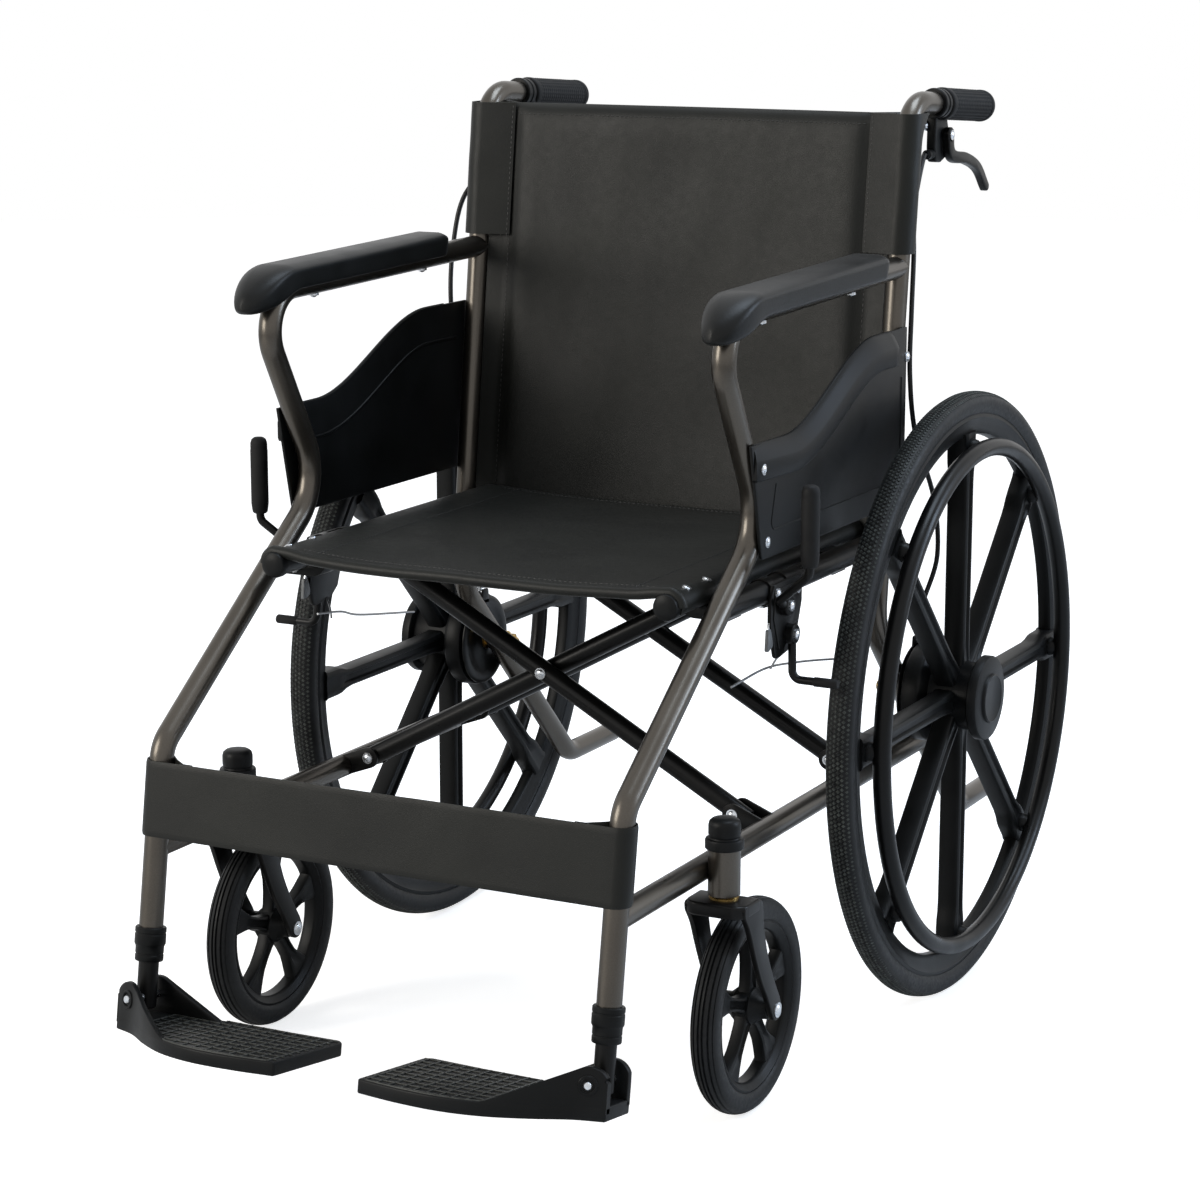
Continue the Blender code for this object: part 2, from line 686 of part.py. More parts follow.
def arm_pad(arm_cutter):
    """Moulded pad on the arm tube, whose nose dips over the front bend."""
    stations = 9
    rings = []
    length = PAD_REAR_Y - PAD_NOSE_Y
    for i in range(stations + 1):
        share = i / stations
        y = PAD_NOSE_Y + length * share**1.5
        along = (y - PAD_NOSE_Y) / length
        front = min(1, along / 0.16)
        rear = min(1, (1 - along) / 0.03)
        swell = math.sqrt(max(0.06, 1 - (1 - front) ** 2)) * (0.8 + 0.2 * rear)
        centre_z = arm_z(max(y, ARM_CORNER_Y))
        top = centre_z + TUBE_R + PAD_ABOVE_TUBE - 0.014 * (1 - front) ** 2
        drop = PAD_NOSE_DROP * max(0, 1 - along / 0.2)
        bottom = centre_z + TUBE_R * 0.35 - drop * swell
        middle = (top + bottom) / 2 - 0.010 * (1 - front)
        half_h = (top - bottom) / 2 * swell
        half_w = PAD_HALF_W * swell * (1.0 + 0.06 * max(0, 1 - along / 0.3))
        ring = []
        sides = 10
        for k in range(sides):
            angle = 2 * math.pi * (k + 0.5) / sides
            c, s = math.cos(angle), math.sin(angle)
            ring.append((FRAME_X + PAD_OFFSET_X + math.copysign(abs(c) ** 0.55, c) * half_w, y,
                         middle + math.copysign(abs(s) ** 0.6, s) * half_h))
        rings.append(ring)
    return cut(lofted(rings), arm_cutter)


def push_grip(handle_cutter):
    """Ribbed sleeve on the end of the handle tube, closed at its back."""
    way = (frame_point(HANDLE_END_Y, HANDLE_CORNER_Z - HANDLE_DROP) - frame_point(HANDLE_CORNER_Y, HANDLE_CORNER_Z)).normalized()
    start = frame_point(HANDLE_CORNER_Y, HANDLE_CORNER_Z)
    first = start + way * (GRIP_FRONT_Y - HANDLE_CORNER_Y)
    length = GRIP_END_Y - GRIP_FRONT_Y
    path = [first, first + way * 0.006]
    radii = [GRIP_RIB_R, GRIP_RIB_R]
    rib = (length - 0.016) / (GRIP_RIBS * 2)
    for i in range(GRIP_RIBS * 2):
        path.append(first + way * (0.007 + rib * (i + 0.5)))
        radii.append(GRIP_R if i % 2 == 0 else GRIP_RIB_R)
    path += [first + way * (length - 0.003), first + way * length]
    radii += [GRIP_RIB_R, GRIP_R - 0.002]
    return cut(tube(path, radii, 12), handle_cutter)


def handle_line(y):
    """A point on the handle tube's centre line."""
    share = (y - HANDLE_CORNER_Y) / (HANDLE_END_Y - HANDLE_CORNER_Y)
    return frame_point(y, HANDLE_CORNER_Z - share * HANDLE_DROP)


def hand_lever_pivot():
    """The hand lever's pivot, as y and height."""
    return HAND_LEVER_PIVOT_Y, handle_line(HAND_LEVER_PIVOT_Y).z - HAND_LEVER_DROP


def cable_start_z():
    return handle_line(CLAMP_Y).z - CABLE_START_DROP


# Where the hand brake's bracket and lever lie, side by side under the handle
HAND_BRACKET_OUT_X = FRAME_X - GAP
HAND_BRACKET_IN_X = HAND_BRACKET_OUT_X - 0.010


def hand_brake_bracket(handle_cutter):
    """Clamp ring on the handle tube, with an arm that carries the lever and the cable end."""
    front = handle_line(CLAMP_Y - CLAMP_LENGTH / 2)
    back = handle_line(CLAMP_Y + CLAMP_LENGTH / 2)
    ring = tube([front, back], CLAMP_R, 14)
    top = (CLAMP_Y, front.z - TUBE_R * 0.9)
    start_z = cable_start_z()
    elbow = (CLAMP_Y + 0.006, start_z)
    pivot = hand_lever_pivot()
    arm = prism(strip_outline(top, elbow, CLAMP_LENGTH / 2 - GAP, 0.0065), "X", HAND_BRACKET_IN_X, HAND_BRACKET_OUT_X)
    cheek = prism(strip_outline((CLAMP_Y + 0.003, pivot[1] + 0.003), pivot, 0.009, 0.0075), "X",
                  HAND_BRACKET_IN_X, HAND_BRACKET_OUT_X)
    barrel = tube([Vector((HAND_BRACKET_IN_X + 0.005, CLAMP_Y - 0.010, start_z)),
                   Vector((HAND_BRACKET_IN_X + 0.005, CLAMP_Y + 0.008, start_z))], 0.0048, 10)
    pivot_pin = pin(*pivot, HAND_BRACKET_IN_X + 0.002, HAND_BRACKET_OUT_X + HAND_LEVER_T + 2 * PLAY + 0.001,
                    PIVOT_PIN_R)
    head_x = HAND_BRACKET_OUT_X + HAND_LEVER_T + 2 * PLAY
    head = pin(*pivot, head_x, head_x + PIVOT_HEAD_T, PIVOT_HEAD_R)
    return cut(joined(ring, arm, cheek, barrel, pivot_pin, head), handle_cutter)


def hand_brake_lever():
    """Curved lever that is squeezed up towards the grip."""
    low = HAND_BRACKET_OUT_X + PLAY
    pivot = hand_lever_pivot()
    spine = smooth_path([Vector((0, pivot[0] + HAND_LEVER_REACH * along, pivot[1] - HAND_LEVER_FALL * down))
                         for along, down in ((0, 0), (0.043, 0.29), (0.326, 0.42), (0.696, 0.645), (1, 1))], 3)
    left, right = [], []
    for i, point in enumerate(spine):
        before = spine[max(0, i - 1)]
        after = spine[min(len(spine) - 1, i + 1)]
        way = (after - before).normalized()
        half = 0.0070 - 0.0022 * i / (len(spine) - 1)
        across = Vector((0, -way.z, way.y)) * half
        left.append(((point + across).y, (point + across).z))
        right.append(((point - across).y, (point - across).z))
    eye = pin(*pivot, low, low + HAND_LEVER_T, 0.0078, 12)
    blade = prism(left + right[::-1], "X", low, low + HAND_LEVER_T)
    bore = pin(*pivot, low - 0.01, low + HAND_LEVER_T + 0.01, PIVOT_PIN_R + GAP)
    return cut(joined(eye, blade), bore)


def cable_points():
    """The brake cable's route, from the lever's bracket down the back post to the drum."""
    start_x = HAND_BRACKET_IN_X + 0.005
    start_y = CLAMP_Y - 0.010 - GAP
    start_z = cable_start_z()
    stop_x = BRAKE_PLATE_X + CABLE_STOP_R + 0.001
    stop_z = WHEEL_R + BRAKE_PLATE_R + CABLE_STOP_LENGTH + GAP
    return [Vector((start_x, start_y, start_z)),
            Vector((start_x, start_y - 0.006, start_z)),
            Vector((start_x + 0.010, start_y - 0.018, start_z - 0.018)),
            Vector((CABLE_RUN_X - 0.004, 0.006, 0.785)),
            Vector((CABLE_RUN_X, -0.014, 0.735)),
            Vector((CABLE_RUN_X, -0.022, 0.660)),
            Vector((CABLE_RUN_X, -0.006, 0.580)),
            Vector((CABLE_RUN_X, 0.018, 0.500)),
            Vector((CABLE_RUN_X - 0.001, 0.022, 0.440)),
            Vector((stop_x, 0.006, 0.395)),
            Vector((stop_x, 0, stop_z + 0.006)),
            Vector((stop_x, 0, stop_z))]


def brake_cable():
    """Cable sheath that starts and ends square to its stops."""
    points = cable_points()
    path = [points[0], *smooth_path(points[1:-1], 2), points[-1]]
    return tube(path, CABLE_R, 8)


BRAKE_PLATE_X = FRAME_X + TUBE_R + 0.0018  # inner face of the drum brake's back plate


def drum_brake_plate():
    """Back plate of the drum brake, with the stop that holds the cable."""
    profile = [(AXLE_R + GAP, BRAKE_PLATE_X), (BRAKE_PLATE_R, BRAKE_PLATE_X),
               (BRAKE_PLATE_R, BRAKE_PLATE_X + BRAKE_PLATE_T), (AXLE_R + GAP, BRAKE_PLATE_X + BRAKE_PLATE_T)]
    plate = turned(profile, 16, "X", (0, 0, WHEEL_R))
    low_z = WHEEL_R + BRAKE_PLATE_R - 0.004
    tab = prism([(-0.006, low_z - 0.004), (0.006, low_z - 0.004), (0.005, low_z + 0.012), (-0.005, low_z + 0.012)],
                "X", BRAKE_PLATE_X, BRAKE_PLATE_X + BRAKE_PLATE_T)
    stop_x = BRAKE_PLATE_X + CABLE_STOP_R + 0.001
    stop = tube([Vector((stop_x, 0, WHEEL_R + DRUM_R + 0.0035)),
                 Vector((stop_x, 0, WHEEL_R + BRAKE_PLATE_R + CABLE_STOP_LENGTH))], CABLE_STOP_R, 10)
    return joined(plate, tab, stop)


def axle_bolt():
    """Axle through the rear tube, with its nut inside and a spacer outside."""
    inner = FRAME_X - TUBE_R - GAP
    outer = FRAME_X + TUBE_R + GAP
    profile = [(0, inner - AXLE_NUT_T - 0.004), (AXLE_R, inner - AXLE_NUT_T - 0.004),
               (AXLE_R, inner - AXLE_NUT_T), (AXLE_NUT_R, inner - AXLE_NUT_T), (AXLE_NUT_R, inner),
               (AXLE_R, inner), (AXLE_R, outer), (0.010, outer), (0.010, BRAKE_PLATE_X - GAP),
               (AXLE_R, BRAKE_PLATE_X - GAP), (AXLE_R, HUB_FACE_X - AXLE_END_GAP - 2 * GAP),
               (0, HUB_FACE_X - AXLE_END_GAP - 2 * GAP)]
    return turned(profile, 12, "X", (0, 0, WHEEL_R))


def parking_bracket():
    """Plate on the seat tube with the pivots of the parking brake's lever and shoe."""
    low = FRAME_X + TUBE_R + GAP
    high = low + BRACKET_T
    top = SEAT_TUBE_Z + 0.009
    outline = [(BRACKET_FRONT_Y, SEAT_TUBE_Z - 0.004), (BRACKET_FRONT_Y + 0.008, top), (BRACKET_REAR_Y, top),
               (BRACKET_REAR_Y, SEAT_TUBE_Z - 0.016), (SHOE_PIVOT_Y + 0.014, BRACKET_LOW_Z + 0.006),
               (SHOE_PIVOT_Y + 0.004, BRACKET_LOW_Z), (SHOE_PIVOT_Y - 0.010, BRACKET_LOW_Z),
               (BRACKET_FRONT_Y, LEVER_PIVOT_Z - 0.010)]
    plate = prism(outline, "X", low, high)
    parts = []
    for y, z in ((LEVER_PIVOT_Y, LEVER_PIVOT_Z), (SHOE_PIVOT_Y, SHOE_PIVOT_Z)):
        reach = high + 2 * PLAY + BOSS_T
        parts.append(pin(y, z, high - 0.001, reach + 0.001, PIVOT_PIN_R))
        parts.append(pin(y, z, reach, reach + PIVOT_HEAD_T, PIVOT_HEAD_R))
    return joined(plate, *parts)


def parking_lever():
    """Bent rod with an upright grip, turned on the bracket."""
    low = FRAME_X + TUBE_R + GAP + BRACKET_T + PLAY
    mid = low + BOSS_T / 2
    bore = pin(LEVER_PIVOT_Y, LEVER_PIVOT_Z, low - 0.01, low + 0.02, PIVOT_PIN_R + GAP)
    boss = pin(LEVER_PIVOT_Y, LEVER_PIVOT_Z, low, low + BOSS_T, BOSS_R, 14)
    root = Vector((mid, LEVER_PIVOT_Y - BOSS_R * 0.8, LEVER_PIVOT_Z + BOSS_R * 0.2))
    bend = Vector((LEVER_GRIP_X, LEVER_GRIP_Y, LEVER_GRIP_LOW_Z - 0.020))
    low_bend = Vector((mid, LEVER_GRIP_Y + 0.006, LEVER_PIVOT_Z + 0.012))
    top = Vector((LEVER_GRIP_X, LEVER_GRIP_Y, LEVER_GRIP_LOW_Z + 0.010))
    rod = tube(rounded_path([root, low_bend, bend, top], [0.008, 0.012]), LEVER_ROD_R, 8)
    height = LEVER_GRIP_TOP_Z - LEVER_GRIP_LOW_Z
    grip = turned([(0, 0), (LEVER_GRIP_R - 0.002, 0), (LEVER_GRIP_R, 0.004), (LEVER_GRIP_R, height - 0.006),
                   (LEVER_GRIP_R - 0.003, height - 0.001), (0, height)], 12, "Z",
                  (LEVER_GRIP_X, LEVER_GRIP_Y, LEVER_GRIP_LOW_Z))
    return cut(joined(boss, rod, grip), bore)


def parking_shoe():
    """Bent rod whose end bar presses on the tyre."""
    low = FRAME_X + TUBE_R + GAP + BRACKET_T + PLAY
    mid = low + BOSS_T / 2
    bore = pin(SHOE_PIVOT_Y, SHOE_PIVOT_Z, low - 0.01, low + 0.02, PIVOT_PIN_R + GAP)
    boss = pin(SHOE_PIVOT_Y, SHOE_PIVOT_Z, low, low + BOSS_T, BOSS_R, 14)
    root = Vector((mid, SHOE_PIVOT_Y + 0.001, SHOE_PIVOT_Z - BOSS_R * 0.8))
    bend = Vector((mid + 0.002, SHOE_BAR_Y, SHOE_BAR_Z))
    end = Vector((SHOE_BAR_END_X, SHOE_BAR_Y, SHOE_BAR_Z))
    rod = tube(rounded_path([root, bend, end], [0.009]), SHOE_ROD_R, 8)
    return cut(joined(boss, rod), bore)


# Footrest pieces, in the slanted frame

def stem_collar():
    """Two-step collar: the upper step holds the tube's end, the lower one guides the stem."""
    end = FOOT_HINGE_BELOW_TUBE
    seat = end - GAP
    low = end - COLLAR_LOW_H
    profile = [(FOOT_STEM_R + GAP, low), (COLLAR_LOW_R, low), (COLLAR_LOW_R, end),
               (COLLAR_TOP_R, end + 0.001), (COLLAR_TOP_R, end + COLLAR_TOP_H),
               (TUBE_R + GAP, end + COLLAR_TOP_H), (TUBE_R + GAP, seat), (FOOT_STEM_R + GAP, seat)]
    return moved(turned(profile, FOOT_SIDES, "Z", flat=True), foot_matrix())


def foot_stem():
    """Inner tube that slides in the foot tube, with the hinge bolt across its lower end."""
    stem = tube([Vector((0, 0, -FOOT_STEM_BELOW)), Vector((0, 0, FOOT_HINGE_BELOW_TUBE + FOOT_STEM_INSIDE))],
                FOOT_STEM_R, FOOT_SIDES)
    reach = EAR_OFFSET + EAR_T
    bolt_end = reach + FOOT_HEAD_T / 2
    bolt = tube([Vector((0, -bolt_end, 0)), Vector((0, bolt_end, 0))], FOOT_BOLT_R, 10)
    heads = [tube([Vector((0, s * (reach + GAP), 0)), Vector((0, s * (reach + GAP + FOOT_HEAD_T), 0))],
                  FOOT_HEAD_R, 10) for s in (-1, 1)]
    return moved(joined(stem, bolt, *heads), foot_matrix())


def footplate():
    """Plate with a curved front edge and two ears on the hinge bolt."""
    inner = PLATE_INNER_X - FRAME_X
    outer = PLATE_OUTER_X - FRAME_X
    ear_out = EAR_OFFSET + EAR_T
    reach = outer - inner
    front = []
    for share, depth in ((0.0, 0.90), (0.10, 0.955), (0.25, 1.0), (0.42, 0.985), (0.58, 0.87), (0.74, 0.64),
                         (0.88, 0.38), (1.0, ear_out / PLATE_FRONT)):
        front.append((inner + reach * share, -max(PLATE_FRONT * depth, ear_out)))
    rear = [(outer, ear_out), (inner + reach * 0.80, ear_out + 0.004), (inner + 0.006, PLATE_REAR),
            (inner, PLATE_REAR - 0.006)]
    body_outline = front + rear
    plate = prism(body_outline, "Z", -PLATE_TOP - PLATE_T, -PLATE_TOP)
    foot_x = EAR_FOOT_X - FRAME_X
    base = -PLATE_TOP - PLATE_T / 2
    ear_outline = [(outer, base), (outer, -0.002), *arc((0, 0), EAR_R, 20, 125, 6),
                   (foot_x * 0.55, -PLATE_TOP * 0.55), (foot_x, -PLATE_TOP - 0.001), (foot_x, base)]
    ears = []
    for side in (-1, 1):
        near, far = side * EAR_OFFSET, side * ear_out
        ears.append(prism(ear_outline, "Y", min(near, far), max(near, far)))
    hole = tube([Vector((0, -0.05, 0)), Vector((0, 0.05, 0))], FOOT_BOLT_R + GAP, 12)
    return moved(cut(joined(plate, *ears), hole), foot_matrix())


# Wheels

def spoke_outline(inner_r, outer_r):
    """One spoke along +Z in the wheel's plane, thicker at its end."""
    swell = HAND_RIM_RING_R
    half = [(SPOKE_HALF_W * 1.25, inner_r), (SPOKE_HALF_W, inner_r + 0.04), (SPOKE_HALF_W, swell - 0.030),
            (SPOKE_END_HALF_W, swell - 0.012), (SPOKE_END_HALF_W, outer_r)]
    return half + [(-y, z) for y, z in reversed(half)]


def rear_wheel():
    """Cast wheel with its hub, brake drum, spokes and rim."""
    rim_out = WHEEL_R - TYRE_DEPTH - GAP
    rim_in = rim_out - RIM_DEPTH
    rim = turned([(rim_in, -RIM_INNER_HALF_W), (rim_out, -RIM_HALF_W), (rim_out, RIM_HALF_W),
                  (rim_in, RIM_INNER_HALF_W)], WHEEL_SEGMENTS, "X", (WHEEL_X, 0, WHEEL_R), True)
    bore = AXLE_R + GAP
    hub = turned([(0, HUB_FACE_X + HUB_CAP_T), (HUB_CAP_R, HUB_FACE_X + HUB_CAP_T), (HUB_CAP_R, HUB_FACE_X),
                  (HUB_DISC_R, HUB_FACE_X), (HUB_DISC_R, HUB_FACE_X - HUB_DISC_T),
                  (HUB_R, HUB_FACE_X - HUB_DISC_T - 0.003), (HUB_R, DRUM_OUT_X + 0.004), (DRUM_R, DRUM_OUT_X),
                  (DRUM_R, DRUM_IN_X), (bore, DRUM_IN_X), (bore, HUB_FACE_X - AXLE_END_GAP),
                  (0, HUB_FACE_X - AXLE_END_GAP)], 16, "X", (0, 0, WHEEL_R))
    spokes = []
    for i in range(SPOKES):
        spoke = prism(spoke_outline(HUB_R - 0.010, rim_in + 0.010), "X", WHEEL_X - SPOKE_HALF_T,
                      WHEEL_X + SPOKE_HALF_T)
        spoke.transform(Matrix.Translation((0, 0, WHEEL_R)) @ Matrix.Rotation(2 * math.pi * i / SPOKES, 4, "X"))
        spokes.append(spoke)
    return joined(hub, *spokes, rim)


def rear_tyre():
    inner = WHEEL_R - TYRE_DEPTH
    w = TYRE_HALF_W
    side = [(inner, w * 0.8), (WHEEL_R - 0.008, w), (WHEEL_R, w * 0.45)]
    profile = side + [(r, -x) for r, x in reversed(side)]
    return turned(profile, WHEEL_SEGMENTS, "X", (WHEEL_X, 0, WHEEL_R), True)


def hand_rim():
    """Push ring outside the wheel, held by a stand-off at each spoke."""
    sides = 6
    profile = []
    for i in range(sides):
        angle = 2 * math.pi * (i + 0.5) / sides
        profile.append((HAND_RIM_RING_R + HAND_RIM_TUBE_R * math.cos(angle),
                        HAND_RIM_TUBE_R * math.sin(angle)))
    ring = turned(profile, WHEEL_SEGMENTS, "X", (HAND_RIM_X, 0, WHEEL_R), True)
    posts = []
    for i in range(SPOKES):
        angle = 2 * math.pi * i / SPOKES
        posts.append(pin(HAND_RIM_RING_R * math.sin(angle), WHEEL_R + HAND_RIM_RING_R * math.cos(angle),
                         WHEEL_X + SPOKE_HALF_T + GAP, HAND_RIM_X, STANDOFF_R, 6))
    return joined(ring, *posts)


def caster_fork():
    """Stem, bearing ring, crown, two curved arms and the wheel's bolt."""
    crown_top = HOUSING_LOW_Z - FORK_CROWN_GAP
    crown_low = crown_top - FORK_CROWN_T
    arm_in = CASTER_HUB_HALF_W + PLAY
    arm_out = arm_in + FORK_ARM_T
    stem = turned([(0, crown_low + 0.002), (0.0135, crown_low + 0.002), (0.0135, HOUSING_LOW_Z - GAP),
                   (STEM_R, HOUSING_LOW_Z - GAP), (STEM_R, HOUSING_TOP_Z - 0.012), (0, HOUSING_TOP_Z - 0.012)],
                  14, "Z", (CASTER_X, CASTER_STEM_Y, 0))
    front = CASTER_STEM_Y - 0.025
    crown_outline = [(CASTER_X - arm_out, front + 0.006), (CASTER_X - arm_out + 0.006, front),
                     (CASTER_X + arm_out - 0.006, front), (CASTER_X + arm_out, front + 0.006),
                     (CASTER_X + arm_out, CASTER_STEM_Y + FORK_CROWN_REAR),
                     (CASTER_X - arm_out, CASTER_STEM_Y + FORK_CROWN_REAR)]
    crown = prism(crown_outline, "Z", crown_low, crown_top)
    wheel_y = CASTER_STEM_Y + CASTER_TRAIL
    stem_y = CASTER_STEM_Y
    drop = crown_top - CASTER_R
    arm_outline = [(stem_y - 0.016, crown_top - 0.001), (stem_y + 0.018, crown_top - 0.001),
                   (stem_y + 0.036, CASTER_R + 0.72 * drop), (stem_y + CASTER_TRAIL, CASTER_R + 0.42 * drop),
                   *arc((wheel_y, CASTER_R), FORK_EYE_R, 10, -170, 6),
                   (stem_y + 0.028, CASTER_R + 0.30 * drop), (stem_y + 0.006, CASTER_R + 0.62 * drop),
                   (stem_y - 0.014, CASTER_R + 0.86 * drop)]
    arms = [prism(arm_outline, "X", CASTER_X + arm_in, CASTER_X + arm_out),
            prism(arm_outline, "X", CASTER_X - arm_out, CASTER_X - arm_in)]
    reach = arm_out + BOLT_HEAD_T
    bolt = pin(wheel_y, CASTER_R, CASTER_X - reach + 0.001, CASTER_X + reach - 0.001, CASTER_BOLT_R)
    heads = [pin(wheel_y, CASTER_R, CASTER_X + arm_out - 0.0005, CASTER_X + reach, BOLT_HEAD_R),
             pin(wheel_y, CASTER_R, CASTER_X - reach, CASTER_X - arm_out + 0.0005, BOLT_HEAD_R)]
    return joined(crown, stem, *arms, bolt, *heads)


def caster_wheel():
    """Five-spoke moulded wheel."""
    centre = (CASTER_X, CASTER_STEM_Y + CASTER_TRAIL, CASTER_R)
    rim_out = CASTER_R - CASTER_TYRE_DEPTH - GAP
    rim_in = rim_out - CASTER_RIM_DEPTH
    half = CASTER_TYRE_HALF_W * 0.8
    rim = turned([(rim_in, -half * 0.75), (rim_out, -half), (rim_out, half), (rim_in, half * 0.75)],
                 CASTER_SEGMENTS, "X", centre, True)
    w = CASTER_HUB_HALF_W
    bore = CASTER_BOLT_R + GAP
    hub = turned([(bore, -w), (CASTER_HUB_END_R, -w), (CASTER_HUB_R, -half * 0.75),
                  (CASTER_HUB_R, half * 0.75), (CASTER_HUB_END_R, w), (bore, w)], 14, "X", centre)
    spokes = []
    outline = [(0.0085, CASTER_HUB_R - 0.006), (0.0060, CASTER_HUB_R + 0.018), (0.0075, rim_in - 0.010),
               (0.0130, rim_in + 0.003)]
    outline += [(-y, z) for y, z in reversed(outline)]
    for i in range(CASTER_SPOKES):
        spoke = prism(outline, "X", -half * 0.6, half * 0.6)
        spoke.transform(Matrix.Translation(centre) @ Matrix.Rotation(2 * math.pi * i / CASTER_SPOKES, 4, "X"))
        spokes.append(spoke)
    return joined(hub, *spokes, rim)


def caster_tyre():
    centre = (CASTER_X, CASTER_STEM_Y + CASTER_TRAIL, CASTER_R)
    inner = CASTER_R - CASTER_TYRE_DEPTH
    w = CASTER_TYRE_HALF_W
    side = [(inner, w * 0.8), (CASTER_R - 0.005, w), (CASTER_R, w * 0.45)]
    return turned(side + [(r, -x) for r, x in reversed(side)], CASTER_SEGMENTS, "X", centre, True)


# Scissor brace

def brace_bar(lean, y, own_rail_cutter, bolt):
    """One bar from a lower pivot to the opposite seat rail. It leans to the left or the right."""
    low = Vector((-lean * BRACE_X, y, BRACE_LOW_Z))
    high = Vector((lean * BRACE_X, y, SEAT_RAIL_Z))
    way = (high - low).normalized()
    bar = tube([low - way * BAR_OVERHANG, high], BAR_R)
    hole = tube([Vector((low.x, y - 0.02, low.z)), Vector((low.x, y + 0.02, low.z))], BRACE_BOLT_R + GAP, 10)
    if bolt == "holds":
        centre = (low + high) / 2
        step = BRACE_STEP
        reach = step + BAR_R + BOLT_HEAD_T
        profile = [(0, -BAR_R - BOLT_HEAD_T), (BOLT_HEAD_R, -BAR_R - BOLT_HEAD_T), (BOLT_HEAD_R, -BAR_R + 0.002),
                   (BRACE_BOLT_R, -BAR_R + 0.002), (BRACE_BOLT_R, step + BAR_R + GAP),
                   (BOLT_HEAD_R, step + BAR_R + GAP), (BOLT_HEAD_R, reach), (0, reach)]
        bar = joined(bar, turned(profile, 10, "Y", centre))
        return cut(bar, hole, own_rail_cutter)
    centre = (low + high) / 2
    middle = tube([Vector((centre.x, y - 0.02, centre.z)), Vector((centre.x, y + 0.02, centre.z))],
                  BRACE_BOLT_R + GAP, 10)
    return cut(bar, hole, middle, own_rail_cutter)


BRACE_STEP = 2 * BAR_R + PLAY  # between the two bars of a crossing pair


def seat_rail(side):
    return tube([Vector((side * BRACE_X, SEAT_RAIL_FRONT_Y, SEAT_RAIL_Z)),
                 Vector((side * BRACE_X, SEAT_RAIL_REAR_Y, SEAT_RAIL_Z))], RAIL_R)


def seat_rail_cutter(side):
    return tube([Vector((side * BRACE_X, SEAT_RAIL_FRONT_Y - 0.02, SEAT_RAIL_Z)),
                 Vector((side * BRACE_X, SEAT_RAIL_REAR_Y + 0.02, SEAT_RAIL_Z))], RAIL_R + GAP)


# Cloth

def seat_ring(y, thick):
    """The seat cloth's section at one depth: over the rails, down their outer sides, with a sag between."""
    inner = RAIL_R + GAP
    outer = inner + CLOTH_T
    across = 6
    wrap = 5
    end = -30

    def around(radius, side):
        points = arc((BRACE_X, SEAT_RAIL_Z), radius, end, 82, wrap)
        return [(side * x, z) for x, z in points]

    def middle(radius, extra):
        points = []
        half = BRACE_X - 0.016
        for i in range(across + 1):
            x = half - 2 * half * i / across
            sag = SEAT_SAG * (1 - (x / half) ** 2)
            hem = extra * (1 - (x / half) ** 4)
            points.append((x, SEAT_RAIL_Z + radius - 0.0004 - sag - hem))
        return points

    top = around(outer, 1) + middle(outer, 0) + list(reversed(around(outer, -1)))
    low = around(inner, 1) + middle(inner, thick) + list(reversed(around(inner, -1)))
    return [(x, y, z) for x, z in top + low[::-1]]


def seat_sling():
    """Sling seat that sags between its rails, with a rolled front hem."""
    hem = SEAT_FRONT_Y
    rows = [(hem, 0.001), (hem + 0.003, SEAT_HEM_R), (hem + 0.010, SEAT_HEM_R), (hem + 0.014, 0.0),
            (hem + (SEAT_REAR_Y - hem) * 0.35, 0.0), (hem + (SEAT_REAR_Y - hem) * 0.7, 0.0), (SEAT_REAR_Y, 0.0)]
    return lofted([seat_ring(y, thick) for y, thick in rows])


def back_ring(z, half_width, bow):
    """The back panel's section at one height, bowed backwards between the posts."""
    across = 6
    front, back = [], []
    base = post_y(z)
    for i in range(across + 1):
        x = -half_width + 2 * half_width * i / across
        y = base + bow * (1 - (x / half_width) ** 2) - BACK_PANEL_T / 2
        front.append((x, y, z))
        back.append((x, y + BACK_PANEL_T, z))
    return front + back[::-1]


def back_sling(rear_cutters):
    """Cloth back: a bowed panel between the posts and a sleeve round the top of each."""
    half_w = FRAME_X - TUBE_R - GAP - 0.0005
    rows = []
    levels = 5
    for i in range(levels):
        z = BACK_LOW_Z + (BACK_TOP_Z - BACK_LOW_Z) * i / (levels - 1)
        rows.append(back_ring(z, half_w, BACK_BOW * math.sin(math.pi * (0.25 + 0.5 * i / (levels - 1)))))
    panel = lofted(rows)
    sleeves = []
    wrap = TUBE_R + GAP + CLOTH_T
    for side in (-1, 1):
        rings = []
        for z in (SLEEVE_LOW_Z, BACK_TOP_Z):
            base = post_y(z)
            loop = arc((0, 0), wrap, -100, 100, 8)
            ring = [(side * (FRAME_X + x), base + y, z) for x, y in loop]
            ring.append((side * (FRAME_X - SLEEVE_WIDTH), base + BACK_PANEL_T * 0.8, z))
            ring.append((side * (FRAME_X - SLEEVE_WIDTH), base - BACK_PANEL_T * 0.8, z))
            rings.append(ring)
        sleeves.append(lofted(rings))
    return cut(joined(panel, *sleeves), *rear_cutters)


def calf_strap(front_cutters):
    """Taut band between the foot tubes, wrapped round each and sewn back on itself."""
    wrap = TUBE_R + GAP + STRAP_T
    rings = []
    for z in (STRAP_LOW_Z, STRAP_TOP_Z):
        base = foot_tube_y(z)
        ring = [(FRAME_X + x, base + y, z) for x, y in arc((0, 0), wrap, -90, 115, 9)]
        ring += [(FRAME_X - STRAP_TAIL, base - wrap + 2 * STRAP_T, z), (FRAME_X - STRAP_TAIL, base - wrap + STRAP_T, z)]
        ring += [(-x, y, z) for x, y, z in reversed(ring)]
        rings.append(ring)
    return cut(lofted(rings), *front_cutters)


# Assembly

